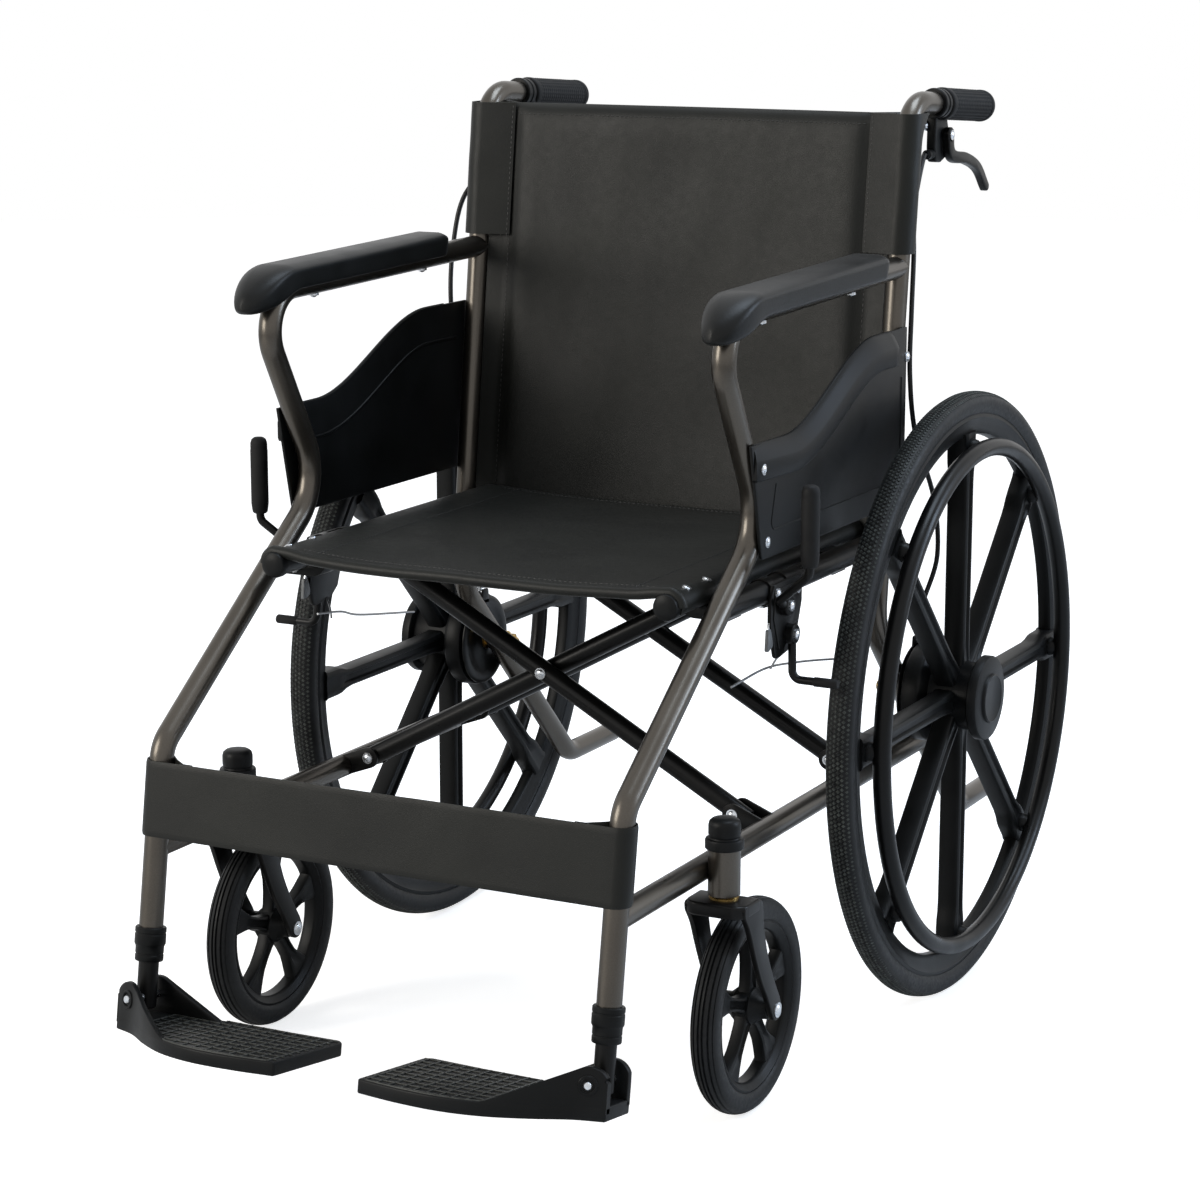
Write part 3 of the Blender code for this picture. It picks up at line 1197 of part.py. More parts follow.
def build():
    for item in list(bpy.data.objects):
        bpy.data.objects.remove(item)

    paint = material("bronze grey paint", (0.075, 0.068, 0.060), 0.32, 0.75)
    black_tube = material("black painted tube", (0.012, 0.012, 0.013), 0.40, 0.1)
    plastic = material("black moulded plastic", (0.014, 0.014, 0.015), 0.55)
    rubber = material("black rubber", (0.010, 0.010, 0.010), 0.75)
    leather = material("black leatherette", (0.016, 0.016, 0.016), 0.48)
    zinc = material("zinc plated steel", (0.55, 0.56, 0.58), 0.28, 1.0)
    bronze = material("yellow zinc steel", (0.42, 0.30, 0.13), 0.35, 1.0)
    cable = material("black cable sheath", (0.012, 0.012, 0.012), 0.5)

    # The footplate sets the chair's front end and the tyre its back end
    plate = footplate()
    front_y = min(vertex.co.y for vertex in plate.vertices)
    axle_y = -(front_y + WHEEL_R) / 2
    root = body("chair", (0, 0, 0))
    root.location = (0, axle_y, 0)

    hinge = foot_matrix() @ Vector((0, 0, 0))
    frames, foot_stems, foot_plates, forks, caster_hubs = {}, {}, {}, {}, {}
    hubs, park_levers, park_shoes, hand_levers = {}, {}, {}, {}
    for name, side in (("left", 1), ("right", -1)):
        frames[name] = body(name + "_frame", (side * BRACE_X, 0, BRACE_LOW_Z), root)
        foot_stems[name] = body(name + "_stem_slide", (side * hinge.x, hinge.y, hinge.z), root)
        foot_plates[name] = body(name + "_plate_hinge", (side * hinge.x, hinge.y, hinge.z), root)
        forks[name] = body(name + "_swivel", (side * CASTER_X, CASTER_STEM_Y, HOUSING_LOW_Z), root)
        caster_hubs[name] = body(name + "_caster_axle",
                                 (side * CASTER_X, CASTER_STEM_Y + CASTER_TRAIL, CASTER_R), root)
        hubs[name] = body(name + "_axle", (side * WHEEL_X, 0, WHEEL_R), root)
        park_levers[name] = body(name + "_parking_pivot", (side * FRAME_X, LEVER_PIVOT_Y, LEVER_PIVOT_Z), root)
        park_shoes[name] = body(name + "_shoe_pivot", (side * FRAME_X, SHOE_PIVOT_Y, SHOE_PIVOT_Z), root)
        hand_levers[name] = body(name + "_hand_lever_pivot", (side * FRAME_X, *hand_lever_pivot()), root)
    brace_a = body("brace_a", (BRACE_X, FRONT_BRACE_Y, BRACE_LOW_Z), root)
    brace_b = body("brace_b", (0, FRONT_BRACE_Y, (BRACE_LOW_Z + SEAT_RAIL_Z) / 2), root)
    seat = body("seat", (BRACE_X, FRONT_BRACE_Y, SEAT_RAIL_Z), root)

    def front_cutter():
        return tube(front_tube_path(), TUBE_R + GAP)

    def rear_cutter():
        return tube(rear_tube_path(), TUBE_R + GAP)

    def right(mesh):
        return mirrored(mesh)

    pair("front_frame_tube", front_frame_tube(rear_cutter()), paint, frames)
    pair("rear_frame_tube", rear_frame_tube(), paint, frames)
    pair("seat_side_tube", seat_side_tube([front_cutter(), rear_cutter()]), black_tube, frames)
    shift = BRACE_STEP / 2
    piece("left_bottom_rail", bottom_rail([front_cutter(), rear_cutter()], -shift), paint, frames["left"])
    piece("right_bottom_rail", right(bottom_rail([front_cutter(), rear_cutter()], shift)), paint,
          frames["right"])
    side_cutter = tube([frame_point(KNEE_Y, SEAT_TUBE_Z), frame_point(0, SEAT_TUBE_Z)], TUBE_R + GAP)
    cradle = prism(cradle_outline(), "Y", CRADLE_FRONT_Y, CRADLE_FRONT_Y + CRADLE_LENGTH)
    pair("rail_cradle", largest(cut(cradle, front_cutter(), side_cutter)), plastic, frames)
    pair("skirt_guard", skirt_guard(), plastic, frames)
    pair("arm_pad", arm_pad(front_cutter()), plastic, frames)
    pair("push_grip", push_grip(rear_cutter()), rubber, frames)
    pair("hand_brake_bracket", hand_brake_bracket(rear_cutter()), plastic, frames)
    pair("hand_brake_lever", hand_brake_lever(), plastic, hand_levers)
    pair("brake_cable", brake_cable(), cable, frames)
    pair("drum_brake_plate", drum_brake_plate(), black_tube, frames)
    pair("axle_bolt", axle_bolt(), bronze, frames)
    pair("parking_brake_bracket", parking_bracket(), black_tube, frames)
    pair("parking_brake_lever", parking_lever(), plastic, park_levers)
    pair("parking_brake_shoe", parking_shoe(), black_tube, park_shoes)
    pair("stem_collar", stem_collar(), plastic, frames)
    pair("foot_stem", foot_stem(), black_tube, foot_stems)
    pair("footplate", plate, plastic, foot_plates)
    pair("caster_fork", caster_fork(), black_tube, forks)
    pair("caster_wheel", caster_wheel(), plastic, caster_hubs)
    pair("caster_tyre", caster_tyre(), rubber, caster_hubs)
    pair("rear_wheel", rear_wheel(), plastic, hubs)
    pair("rear_tyre", rear_tyre(), rubber, hubs)
    pair("hand_rim", hand_rim(), plastic, hubs)

    for place, y in (("front", FRONT_BRACE_Y), ("rear", REAR_BRACE_Y)):
        bar_a = brace_bar(-1, y - shift, seat_rail_cutter(-1), "holds")
        bar_b = brace_bar(1, y + shift, seat_rail_cutter(1), "passes")
        piece("brace_a_%s_bar" % place, bar_a, black_tube, brace_a)
        piece("brace_b_%s_bar" % place, bar_b, black_tube, brace_b)
    piece("right_seat_rail", seat_rail(-1), black_tube, brace_a)
    piece("left_seat_rail", seat_rail(1), black_tube, brace_b)

    piece("seat_sling", seat_sling(), leather, seat)
    piece("back_sling", back_sling([rear_cutter(), right(rear_cutter())]), leather, frames["left"])
    piece("calf_strap", calf_strap([front_cutter(), right(front_cutter())]), leather, frames["left"])


build()
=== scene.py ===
"""Looks of a folding wheelchair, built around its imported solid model.

Units are metres. Every place in this file is measured from the rear axle along y, positive
backwards, with +Z up and the occupant's left at +X; show() moves each finished piece to the frame
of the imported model. Pieces that come in pairs are modelled on the left and mirrored to the right.
"""

import math

import bmesh
import bpy
from bpy.props import FloatProperty, FloatVectorProperty, IntProperty, PointerProperty
from mathutils import Matrix, Vector, noise


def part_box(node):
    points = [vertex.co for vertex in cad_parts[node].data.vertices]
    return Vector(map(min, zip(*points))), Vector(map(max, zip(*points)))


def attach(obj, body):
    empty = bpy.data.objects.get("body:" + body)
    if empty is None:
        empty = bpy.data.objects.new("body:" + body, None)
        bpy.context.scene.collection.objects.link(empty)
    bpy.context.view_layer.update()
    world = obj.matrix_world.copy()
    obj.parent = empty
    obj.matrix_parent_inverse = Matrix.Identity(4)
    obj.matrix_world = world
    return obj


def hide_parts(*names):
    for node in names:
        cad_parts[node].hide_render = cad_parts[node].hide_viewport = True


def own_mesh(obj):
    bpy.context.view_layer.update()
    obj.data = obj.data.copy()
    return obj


bl_info = {
    "name": "Folding wheelchair looks",
    "version": (1, 0, 0),
    "blender": (4, 5, 0),
    "location": "View3D > Sidebar > Wheelchair",
    "description": "Builds the finished pieces of a folding wheelchair round its solid model",
    "category": "Add Mesh",
}

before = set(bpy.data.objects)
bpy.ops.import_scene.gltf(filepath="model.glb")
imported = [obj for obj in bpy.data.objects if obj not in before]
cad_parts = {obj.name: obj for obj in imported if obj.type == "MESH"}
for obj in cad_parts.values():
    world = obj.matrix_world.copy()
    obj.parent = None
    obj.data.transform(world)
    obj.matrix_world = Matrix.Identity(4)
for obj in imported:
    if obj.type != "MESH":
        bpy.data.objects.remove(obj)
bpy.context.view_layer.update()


def box_middle(node):
    low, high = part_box(node)
    return (low + high) / 2


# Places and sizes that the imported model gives
AXLE_Y = box_middle("left_rear_wheel").y
FRAME_X = box_middle("left_rear_frame_tube").x
WHEEL_X = box_middle("left_rear_tyre").x
WHEEL_Z = box_middle("left_rear_tyre").z
WHEEL_R = WHEEL_Z
CASTER_X = box_middle("left_caster_tyre").x
CASTER_Z = box_middle("left_caster_tyre").z
CASTER_Y = box_middle("left_caster_tyre").y - AXLE_Y
HUB_FACE_X = 0.3312  # it stands out past the solid's width, as in the photograph
HAND_RIM_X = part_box("left_hand_rim")[1].x - 0.0088
SEAT_RAIL_X = box_middle("left_seat_rail").x
SEAT_RAIL_Z = box_middle("left_seat_rail").z

# Side frame, in its own plane: y and height of each corner
HANDLE_CORNER = (-0.0125, 0.893)
HANDLE_END = (0.186, 0.88)
POST_LEAN = math.radians(6.9)
TIP_BEND_Y = 0.163
TIP_END_Y = 0.273
ARM_REAR_Z = 0.7345
ARM_CORNER = (-0.4565, 0.724)
WAIST = (-0.3485, 0.5315)
KNEE = (-0.6195, 0.3315)
FOOT_LEAN = math.radians(9)
FOOT_TUBE_END_Z = 0.15
SEAT_TUBE_Z = 0.468
BOTTOM_RAIL_Z = 0.24
BRACE_LOW_Z = 0.252
BRACE_Y = (-0.314, -0.09)
CASTER_STEM_Y = CASTER_Y - 0.052
HOUSING_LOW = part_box("left_bottom_rail")[0].z + 0.012  # the photograph shows it a little shorter
HINGE_BELOW_TUBE = 0.047
GAP = 0.0003
TUBE_FACE = 0.0114  # from a side tube's middle to what lies against it
BRACE_SHIFT = 0.0098  # each bar of a crossing pair, from the middle between the two
FINE_BEND = math.radians(5)
SIDES = (("left", 1), ("right", -1))


# Sizes and colours that a user would change

class FrameSizes(bpy.types.PropertyGroup):
    """Side frame, rails and scissor brace."""
    tube: FloatProperty(name="Tube radius", description="Side frame tubes", default=0.0111, unit="LENGTH")
    bar: FloatProperty(name="Brace radius", description="Scissor brace bars", default=0.0095, unit="LENGTH")
    facets: IntProperty(name="Facets", description="Sides of each round tube", default=36, min=8)
    bolt: FloatProperty(name="Bolt head radius", description="Heads of the brace bolts", default=0.007,
                        unit="LENGTH")
    paint: FloatVectorProperty(name="Paint", description="Bronze grey paint, linear", subtype="COLOR", size=3,
                               default=(0.082, 0.073, 0.062), min=0, max=1)


class WheelSizes(bpy.types.PropertyGroup):
    """Rear wheels, tyres and hand rims."""
    spokes: IntProperty(name="Spokes", description="Spokes of each rear wheel", default=8, min=3)
    rim_inner: FloatProperty(name="Rim inside", description="Inner radius of the rim", default=0.2622,
                             unit="LENGTH")
    tyre_depth: FloatProperty(name="Tyre depth", description="Tyre from tread to rim", default=0.0215,
                              unit="LENGTH")
    tyre_half: FloatProperty(name="Tyre half width", description="Half of the tyre's width", default=0.0135,
                             unit="LENGTH")
    hand_rim: FloatProperty(name="Hand rim radius", description="Middle of the hand rim", default=0.251,
                            unit="LENGTH")
    hand_tube: FloatProperty(name="Hand rim tube", description="Radius of the hand rim's tube", default=0.0088,
                             unit="LENGTH")
    tread_pitch: FloatProperty(name="Tread pitch", description="Between two rows of tread blocks",
                               default=0.0046, unit="LENGTH")


class CasterSizes(bpy.types.PropertyGroup):
    """Casters with their forks."""
    spokes: IntProperty(name="Spokes", description="Spokes of each caster", default=5, min=3)
    tyre_depth: FloatProperty(name="Tyre depth", description="Tyre from tread to rim", default=0.0207,
                              unit="LENGTH")
    tyre_half: FloatProperty(name="Tyre half width", description="Half of the tyre's width", default=0.013,
                             unit="LENGTH")
    fork_thickness: FloatProperty(name="Fork thickness", description="Pressed steel of the fork",
                                  default=0.0055, unit="LENGTH")


class FootrestSizes(bpy.types.PropertyGroup):
    """Footplates and their stems."""
    plate_front: FloatProperty(name="Plate front", description="Plate ahead of its hinge", default=0.091,
                               unit="LENGTH")
    plate_thickness: FloatProperty(name="Plate thickness", description="Edge of the plate", default=0.0135,
                                   unit="LENGTH")
    pad: FloatProperty(name="Tread ridge", description="Width of one ridge of the net", default=0.0017,
                       unit="LENGTH")
    pad_pitch: FloatProperty(name="Tread pitch", description="Between two ridges of the net", default=0.0125,
                             unit="LENGTH")


class TrimSizes(bpy.types.PropertyGroup):
    """Arm pads, skirt guards, grips and brakes."""
    pad_half: FloatProperty(name="Arm pad half width", description="Half of the arm pad's width",
                            default=0.0235, unit="LENGTH")
    band_drop: FloatProperty(name="Guard band", description="Height of the band along the guard's top",
                             default=0.034, unit="LENGTH")
    grip: FloatProperty(name="Grip radius", description="Push grip over its ribs", default=0.0162,
                        unit="LENGTH")
    grip_ribs: IntProperty(name="Grip ribs", description="Ribs along each push grip", default=22, min=4)
    screw: FloatProperty(name="Screw radius", description="Small screw heads", default=0.0044, unit="LENGTH")


class ClothSizes(bpy.types.PropertyGroup):
    """Seat, back and calf band."""
    cloth: FloatProperty(name="Cloth", description="Thickness of the coated cloth", default=0.0018,
                         unit="LENGTH")
    seat_sag: FloatProperty(name="Seat sag", description="Drop of the seat between its rails", default=0.005,
                            unit="LENGTH")
    back_bow: FloatProperty(name="Back bow", description="How far the back bows backwards", default=0.012,
                            unit="LENGTH")
    back_pad: FloatProperty(name="Back padding", description="Padding of the back between its seams",
                            default=0.0075, unit="LENGTH")
    sleeve: FloatProperty(name="Sleeve width", description="Back sleeve from post to its seam",
                          default=0.037, unit="LENGTH")
    stitch: FloatProperty(name="Stitch", description="Length of one stitch", default=0.0036, unit="LENGTH")
    stitch_pitch: FloatProperty(name="Stitch pitch", description="From stitch to stitch", default=0.0052,
                                unit="LENGTH")


class StudioSizes(bpy.types.PropertyGroup):
    """Camera, floor and light."""
    yaw: FloatProperty(name="Yaw", description="Camera turned from the chair's front", subtype="ANGLE",
                       default=math.radians(27.444))
    pitch: FloatProperty(name="Pitch", description="Camera looking down", subtype="ANGLE",
                         default=math.radians(12.001))
    roll: FloatProperty(name="Roll", description="Camera tipped", subtype="ANGLE",
                        default=math.radians(0.042))
    focal: FloatProperty(name="Focal length", description="In millimetres on a 36 mm wide sensor",
                         default=94.05)
    place: FloatVectorProperty(name="Camera place", description="From the rear axle", subtype="TRANSLATION",
                               size=3, default=(1.3884, -2.8838, 1.0527), unit="LENGTH")
    light: FloatProperty(name="Light", description="Share of the studio lamps' usual power", default=1.0,
                         min=0)


# Colours and nodes

def linear(code, alpha=True):
    """A hex colour of the sRGB kind as linear values."""
    values = []
    for i in (1, 3, 5):
        share = int(code[i:i + 2], 16) / 255
        values.append(share / 12.92 if share <= 0.04045 else ((share + 0.055) / 1.055) ** 2.4)
    return (*values, 1.0) if alpha else tuple(values)


def add(tree, kind, inputs=None, **settings):
    """A node with its settings, whose inputs take values or the sockets that feed them."""
    made = tree.nodes.new(kind)
    for name, value in settings.items():
        setattr(made, name, value)
    for key, value in (inputs or {}).items():
        if isinstance(value, bpy.types.NodeSocket):
            tree.links.new(value, made.inputs[key])
        else:
            made.inputs[key].default_value = value
    return made


def surface(name, **values):
    """A new material with these values on its Principled shader; gives its tree and shader."""
    made = bpy.data.materials.new(name)
    made.use_nodes = True
    shader = made.node_tree.nodes["Principled BSDF"]
    for key, value in values.items():
        shader.inputs[key.replace("_", " ")].default_value = value
    return made, made.node_tree, shader


def speckle(tree, size_mm, detail=2.0, stretch=(1, 1, 1)):
    """Noise whose grains are about this many millimetres wide, on Object coordinates."""
    place = add(tree, "ShaderNodeTexCoord")
    scaled = add(tree, "ShaderNodeMapping", {"Vector": place.outputs["Object"], "Scale": stretch})
    return add(tree, "ShaderNodeTexNoise", {"Vector": scaled.outputs["Vector"], "Scale": 1000 / size_mm,
                                            "Detail": detail, "Roughness": 0.55})


def ranged(tree, value, low, high, from_low=0.3, from_high=0.7):
    return add(tree, "ShaderNodeMapRange", {"Value": value, "From Min": from_low, "From Max": from_high,
                                            "To Min": low, "To Max": high}).outputs["Result"]


def tinted(tree, factor, dark, light):
    """A colour between two, by a factor."""
    return add(tree, "ShaderNodeMix", {0: factor, 6: dark, 7: light}, data_type="RGBA").outputs[2]


def bumped(tree, shader, height, depth_mm, strength=1.0, under=None):
    """A bump of this depth in millimetres, over another one if it is given."""
    inputs = {"Height": height, "Distance": depth_mm / 1000, "Strength": strength}
    if under is not None:
        inputs["Normal"] = under
    made = add(tree, "ShaderNodeBump", inputs)
    tree.links.new(made.outputs["Normal"], shader.inputs["Normal"])
    return made.outputs["Normal"]


def coloured(tree, shader, pattern, dark, light):
    """A base colour that wanders between two sRGB hex values with a pattern."""
    tree.links.new(tinted(tree, ranged(tree, pattern.outputs["Fac"], 0, 1), linear(dark), linear(light)),
                   shader.inputs["Base Color"])


def roughened(tree, shader, pattern, smooth, rough):
    """A roughness that wanders between two values with a pattern."""
    tree.links.new(ranged(tree, pattern.outputs["Fac"], smooth, rough), shader.inputs["Roughness"])


def painted_tube(context):
    """Steel tube, powder coated in metallic bronze grey: fine flake under a clear gloss, faint orange peel."""
    base = (*context.scene.chair_frame.paint, 1.0)
    made, tree, shader = surface("bronze_grey_powder_coat", Metallic=0.92, Coat_Weight=0.12,
                                 Coat_Roughness=0.1)
    flake = speckle(tree, 1.2)
    mottle = speckle(tree, 60, 1.0)
    both = add(tree, "ShaderNodeMath", {0: flake.outputs["Fac"], 1: mottle.outputs["Fac"]}, operation="ADD")
    dark = tuple(v * 0.9 for v in base[:3]) + (1.0,)
    light = tuple(min(1, v * 1.1) for v in base[:3]) + (1.0,)
    tree.links.new(tinted(tree, ranged(tree, both.outputs["Value"], 0, 1, 0.75, 1.25), dark, light),
                   shader.inputs["Base Color"])
    roughened(tree, shader, mottle, 0.27, 0.34)
    peel = speckle(tree, 5, 1.0)
    bumped(tree, shader, peel.outputs["Fac"], 0.02)
    return made


def black_paint(context):
    """Steel, powder coated in satin black: slight orange peel and a few dull patches."""
    made, tree, shader = surface("satin_black_powder_coat", Base_Color=linear("#0b0b0b"),
                                 Specular_IOR_Level=0.16)
    peel = speckle(tree, 4, 1.0)
    patch = speckle(tree, 45, 2.0)
    roughened(tree, shader, patch, 0.26, 0.4)
    bumped(tree, shader, peel.outputs["Fac"], 0.025)
    return made


def moulded_plastic(context):
    """Glass-filled nylon, injection moulded with a fine spark-eroded grain: even, slightly soft black."""
    made, tree, shader = surface("moulded_nylon_black", Specular_IOR_Level=0.13)
    grain = speckle(tree, 1.1, 3.0)
    cloud = speckle(tree, 55, 2.0)
    coloured(tree, shader, cloud, "#0a0b0b", "#111213")
    roughened(tree, shader, cloud, 0.36, 0.46)
    bumped(tree, shader, grain.outputs["Fac"], 0.05)
    return made


def ridge_highlight_plastic(context):
    """The same nylon, greyer, on the net of ridges and the front lip of the footplates: a painted highlight along
    them, with a fine mottle.
    """
    made, tree, shader = surface("nylon_grey_painted_highlight", Specular_IOR_Level=0.2)
    highlight_mottle = speckle(tree, 6, 4.0)
    coloured(tree, shader, highlight_mottle, "#262725", "#444542")
    roughened(tree, shader, highlight_mottle, 0.34, 0.5)
    return made


def arm_foam(context):
    """Self-skinned polyurethane foam of the arm pads: leathery skin with a silky, slightly cool sheen."""
    made, tree, shader = surface("polyurethane_skin_black", Specular_IOR_Level=0.17, Sheen_Weight=0.03,
                                 Sheen_Roughness=0.4)
    cells = add(tree, "ShaderNodeTexVoronoi",
                {"Vector": add(tree, "ShaderNodeTexCoord").outputs["Object"], "Scale": 1000 / 1.6},
                feature="SMOOTH_F1")
    cloud = speckle(tree, 40, 2.0)
    coloured(tree, shader, cloud, "#0d0e0e", "#141515")
    roughened(tree, shader, cloud, 0.36, 0.44)
    bumped(tree, shader, cells.outputs["Distance"], 0.05)
    return made


def grip_rubber(context):
    """Thermoplastic rubber of the grips: dull black with a soft bloom."""
    made, tree, shader = surface("moulded_rubber_black", Specular_IOR_Level=0.15)
    bloom = speckle(tree, 18, 3.0)
    grain = speckle(tree, 0.9, 2.0)
    coloured(tree, shader, bloom, "#101011", "#1d1d1d")
    roughened(tree, shader, bloom, 0.55, 0.72)
    bumped(tree, shader, grain.outputs["Fac"], 0.06)
    return made


def tyre_rubber(context):
    """Solid polyurethane tyre, cast in a mould: smooth black walls, dusty grey where the blocks wear."""
    made, tree, shader = surface("cast_tyre_rubber", Specular_IOR_Level=0.2)
    dust = speckle(tree, 3.5, 4.0)
    patch = speckle(tree, 70, 2.0)
    both = add(tree, "ShaderNodeMath", {0: dust.outputs["Fac"], 1: patch.outputs["Fac"]}, operation="MULTIPLY")
    tree.links.new(tinted(tree, ranged(tree, both.outputs["Value"], 0, 1, 0.2, 0.42), linear("#0f1011"),
                          linear("#1d1e1f")), shader.inputs["Base Color"])
    roughened(tree, shader, dust, 0.42, 0.62)
    bumped(tree, shader, dust.outputs["Fac"], 0.08)
    return made


def tread_rubber(context):
    """The tread blocks of the same tyre, greyer where they meet the floor."""
    made, tree, shader = surface("worn_tread_rubber", Specular_IOR_Level=0.2)
    dust = speckle(tree, 6, 3.0)
    coloured(tree, shader, dust, "#141516", "#4c504d")
    roughened(tree, shader, dust, 0.5, 0.7)
    return made


def leatherette(context):
    """Woven nylon with a calendered vinyl face: small leather pebbles, satin, softly uneven sheen."""
    made, tree, shader = surface("vinyl_coated_cloth", Specular_IOR_Level=0.2, Sheen_Weight=0.02,
                                 Sheen_Roughness=0.5)
    place = add(tree, "ShaderNodeTexCoord").outputs["Object"]
    wander = add(tree, "ShaderNodeTexNoise", {"Vector": place, "Scale": 1000 / 4.0, "Detail": 2.0})
    moved_by = add(tree, "ShaderNodeVectorMath", {0: wander.outputs["Color"], 1: (0.0012,) * 3},
                   operation="MULTIPLY")
    warped = add(tree, "ShaderNodeVectorMath", {0: place, 1: moved_by.outputs["Vector"]}, operation="ADD")
    pebble = add(tree, "ShaderNodeTexVoronoi", {"Vector": warped.outputs["Vector"], "Scale": 1000 / 1.5},
                 feature="DISTANCE_TO_EDGE")
    crease = ranged(tree, pebble.outputs["Distance"], 0, 1, 0.0, 0.18)
    cloud = speckle(tree, 90, 3.0)
    fine = speckle(tree, 9, 3.0)
    coloured(tree, shader, cloud, "#0f100e", "#161714")
    gloss = add(tree, "ShaderNodeMath", {0: ranged(tree, cloud.outputs["Fac"], 0.42, 0.46),
                                         1: ranged(tree, fine.outputs["Fac"], -0.03, 0.03)}, operation="ADD")
    tree.links.new(gloss.outputs["Value"], shader.inputs["Roughness"])
    first = bumped(tree, shader, crease, 0.04)
    bumped(tree, shader, cloud.outputs["Fac"], 0.8, 0.2, first)
    return made


def thread(context):
    """Bonded polyester thread, twisted: dark, a little brighter than the cloth."""
    made, tree, shader = surface("bonded_black_thread", Roughness=0.5)
    twist = speckle(tree, 0.8, 1.0)
    coloured(tree, shader, twist, "#151515", "#2a2a29")
    return made


def zinc(context):
    """Steel, bright zinc plated: pale, finely brushed by tumbling."""
    made, tree, shader = surface("bright_zinc_plate", Base_Color=linear("#cfd2d6"), Metallic=1.0)
    scratch = speckle(tree, 0.7, 3.0)
    roughened(tree, shader, scratch, 0.18, 0.34)
    bumped(tree, shader, scratch.outputs["Fac"], 0.01)
    return made


def yellow_zinc(context):
    """Steel, zinc plated and yellow passivated: brassy with faint rainbow patches."""
    made, tree, shader = surface("yellow_passivated_zinc", Metallic=1.0)
    patch = speckle(tree, 7, 2.0)
    coloured(tree, shader, patch, "#a58449", "#c2a468")
    roughened(tree, shader, patch, 0.22, 0.36)
    return made


def cable_cover(context):
    """Extruded vinyl sheath of the brake cables: smooth semi-gloss black with faint draw lines."""
    made, tree, shader = surface("extruded_vinyl_sheath", Base_Color=linear("#111112"),
                                 Specular_IOR_Level=0.26)
    draw = speckle(tree, 2.5, 2.0)
    roughened(tree, shader, draw, 0.32, 0.44)
    return made


def spring_wire(context):
    """Drawn stainless spring wire: thin and bright, with fine drawing marks."""
    made, tree, shader = surface("drawn_stainless_wire", Base_Color=linear("#8f9194"), Metallic=1.0)
    mark = speckle(tree, 1.5, 2.0)
    roughened(tree, shader, mark, 0.25, 0.4)
    return made


def grey_plastic(context):
    """Moulded acetal in mid grey: the small tab of the parking brake."""
    made, tree, shader = surface("moulded_acetal_grey", Specular_IOR_Level=0.45)
    cloud = speckle(tree, 8, 2.0)
    coloured(tree, shader, cloud, "#565859", "#6b6d6f")
    roughened(tree, shader, cloud, 0.4, 0.5)
    return made


FINISHES = {}


def finish(maker):
    """Each material once, made when a piece first asks for it."""
    if maker not in FINISHES:
        FINISHES[maker] = maker(bpy.context)
    return FINISHES[maker]


# Lines of the side frame

def post_y(z):
    return HANDLE_CORNER[0] - (HANDLE_CORNER[1] - z) * math.tan(POST_LEAN)


def foot_tube_y(z):
    return KNEE[0] - (KNEE[1] - z) * math.tan(FOOT_LEAN)


def arm_z(y):
    rear_y = post_y(ARM_REAR_Z)
    return ARM_REAR_Z + (y - rear_y) / (ARM_CORNER[0] - rear_y) * (ARM_CORNER[1] - ARM_REAR_Z)


def front_tube_y(z):
    """The front tube between the arm's corner and the waist."""
    return WAIST[0] + (z - WAIST[1]) / (ARM_CORNER[1] - WAIST[1]) * (ARM_CORNER[0] - WAIST[0])


def thigh_y(z):
    """The sloping stretch between the waist and the knee."""
    return WAIST[0] + (z - WAIST[1]) / (KNEE[1] - WAIST[1]) * (KNEE[0] - WAIST[0])


def handle_z(y):
    share = (y - HANDLE_CORNER[0]) / (HANDLE_END[0] - HANDLE_CORNER[0])
    return HANDLE_CORNER[1] + share * (HANDLE_END[1] - HANDLE_CORNER[1])


def bend(before, corner, after, radius, step):
    """The points of the arc that rounds one corner."""
    into = (corner - before).normalized()
    out = (after - corner).normalized()
    turn = into.angle(out)
    if radius <= 0 or turn < 1e-3:
        return [corner]
    start = corner - into * radius * math.tan(turn / 2)
    centre = start + (out - into * into.dot(out)).normalized() * radius
    spin = into.cross(out).normalized()
    steps = max(2, math.ceil(turn / step))
    return [centre + Matrix.Rotation(turn * i / steps, 3, spin) @ (start - centre) for i in range(steps + 1)]


def rounded_path(corners, radii, step=FINE_BEND):
    corners = [Vector(corner) for corner in corners]
    path = [corners[0]]
    for before, corner, after, radius in zip(corners, corners[1:], corners[2:], radii):
        path += bend(before, corner, after, radius, step)
    return path + [corners[-1]]


def in_frame(points, x=FRAME_X):
    return [Vector((x, y, z)) for y, z in points]


def smooth_path(points, steps):
    """A smooth curve through these points, with this many steps between each two."""
    points = [Vector(point) for point in points]
    padded = [points[0] * 2 - points[1]] + points + [points[-1] * 2 - points[-2]]
    path = []
    for a, b, c, d in zip(padded, padded[1:], padded[2:], padded[3:]):
        for i in range(steps):
            t = i / steps
            path.append(0.5 * (2 * b + (c - a) * t + (2 * a - 5 * b + 4 * c - d) * t**2
                               + (3 * b - a - 3 * c + d) * t**3))
    return path + [points[-1]]


def front_tube_path():
    foot = (foot_tube_y(FOOT_TUBE_END_Z), FOOT_TUBE_END_Z)
    return rounded_path(in_frame([(post_y(ARM_REAR_Z), ARM_REAR_Z), ARM_CORNER, WAIST, KNEE, foot]),
                        [0.04, 0.056, 0.03])


def rear_tube_path():
    lean = math.tan(POST_LEAN)
    foot_y = (HANDLE_CORNER[0] - (HANDLE_CORNER[1] - WHEEL_Z) * lean) / (1 + lean)
    tip_z = WHEEL_Z - TIP_BEND_Y
    return rounded_path(in_frame([HANDLE_END, HANDLE_CORNER, (foot_y, WHEEL_Z - foot_y), (TIP_BEND_Y, tip_z),
                                  (TIP_END_Y, tip_z)]), [0.04, 0.06, 0.035])


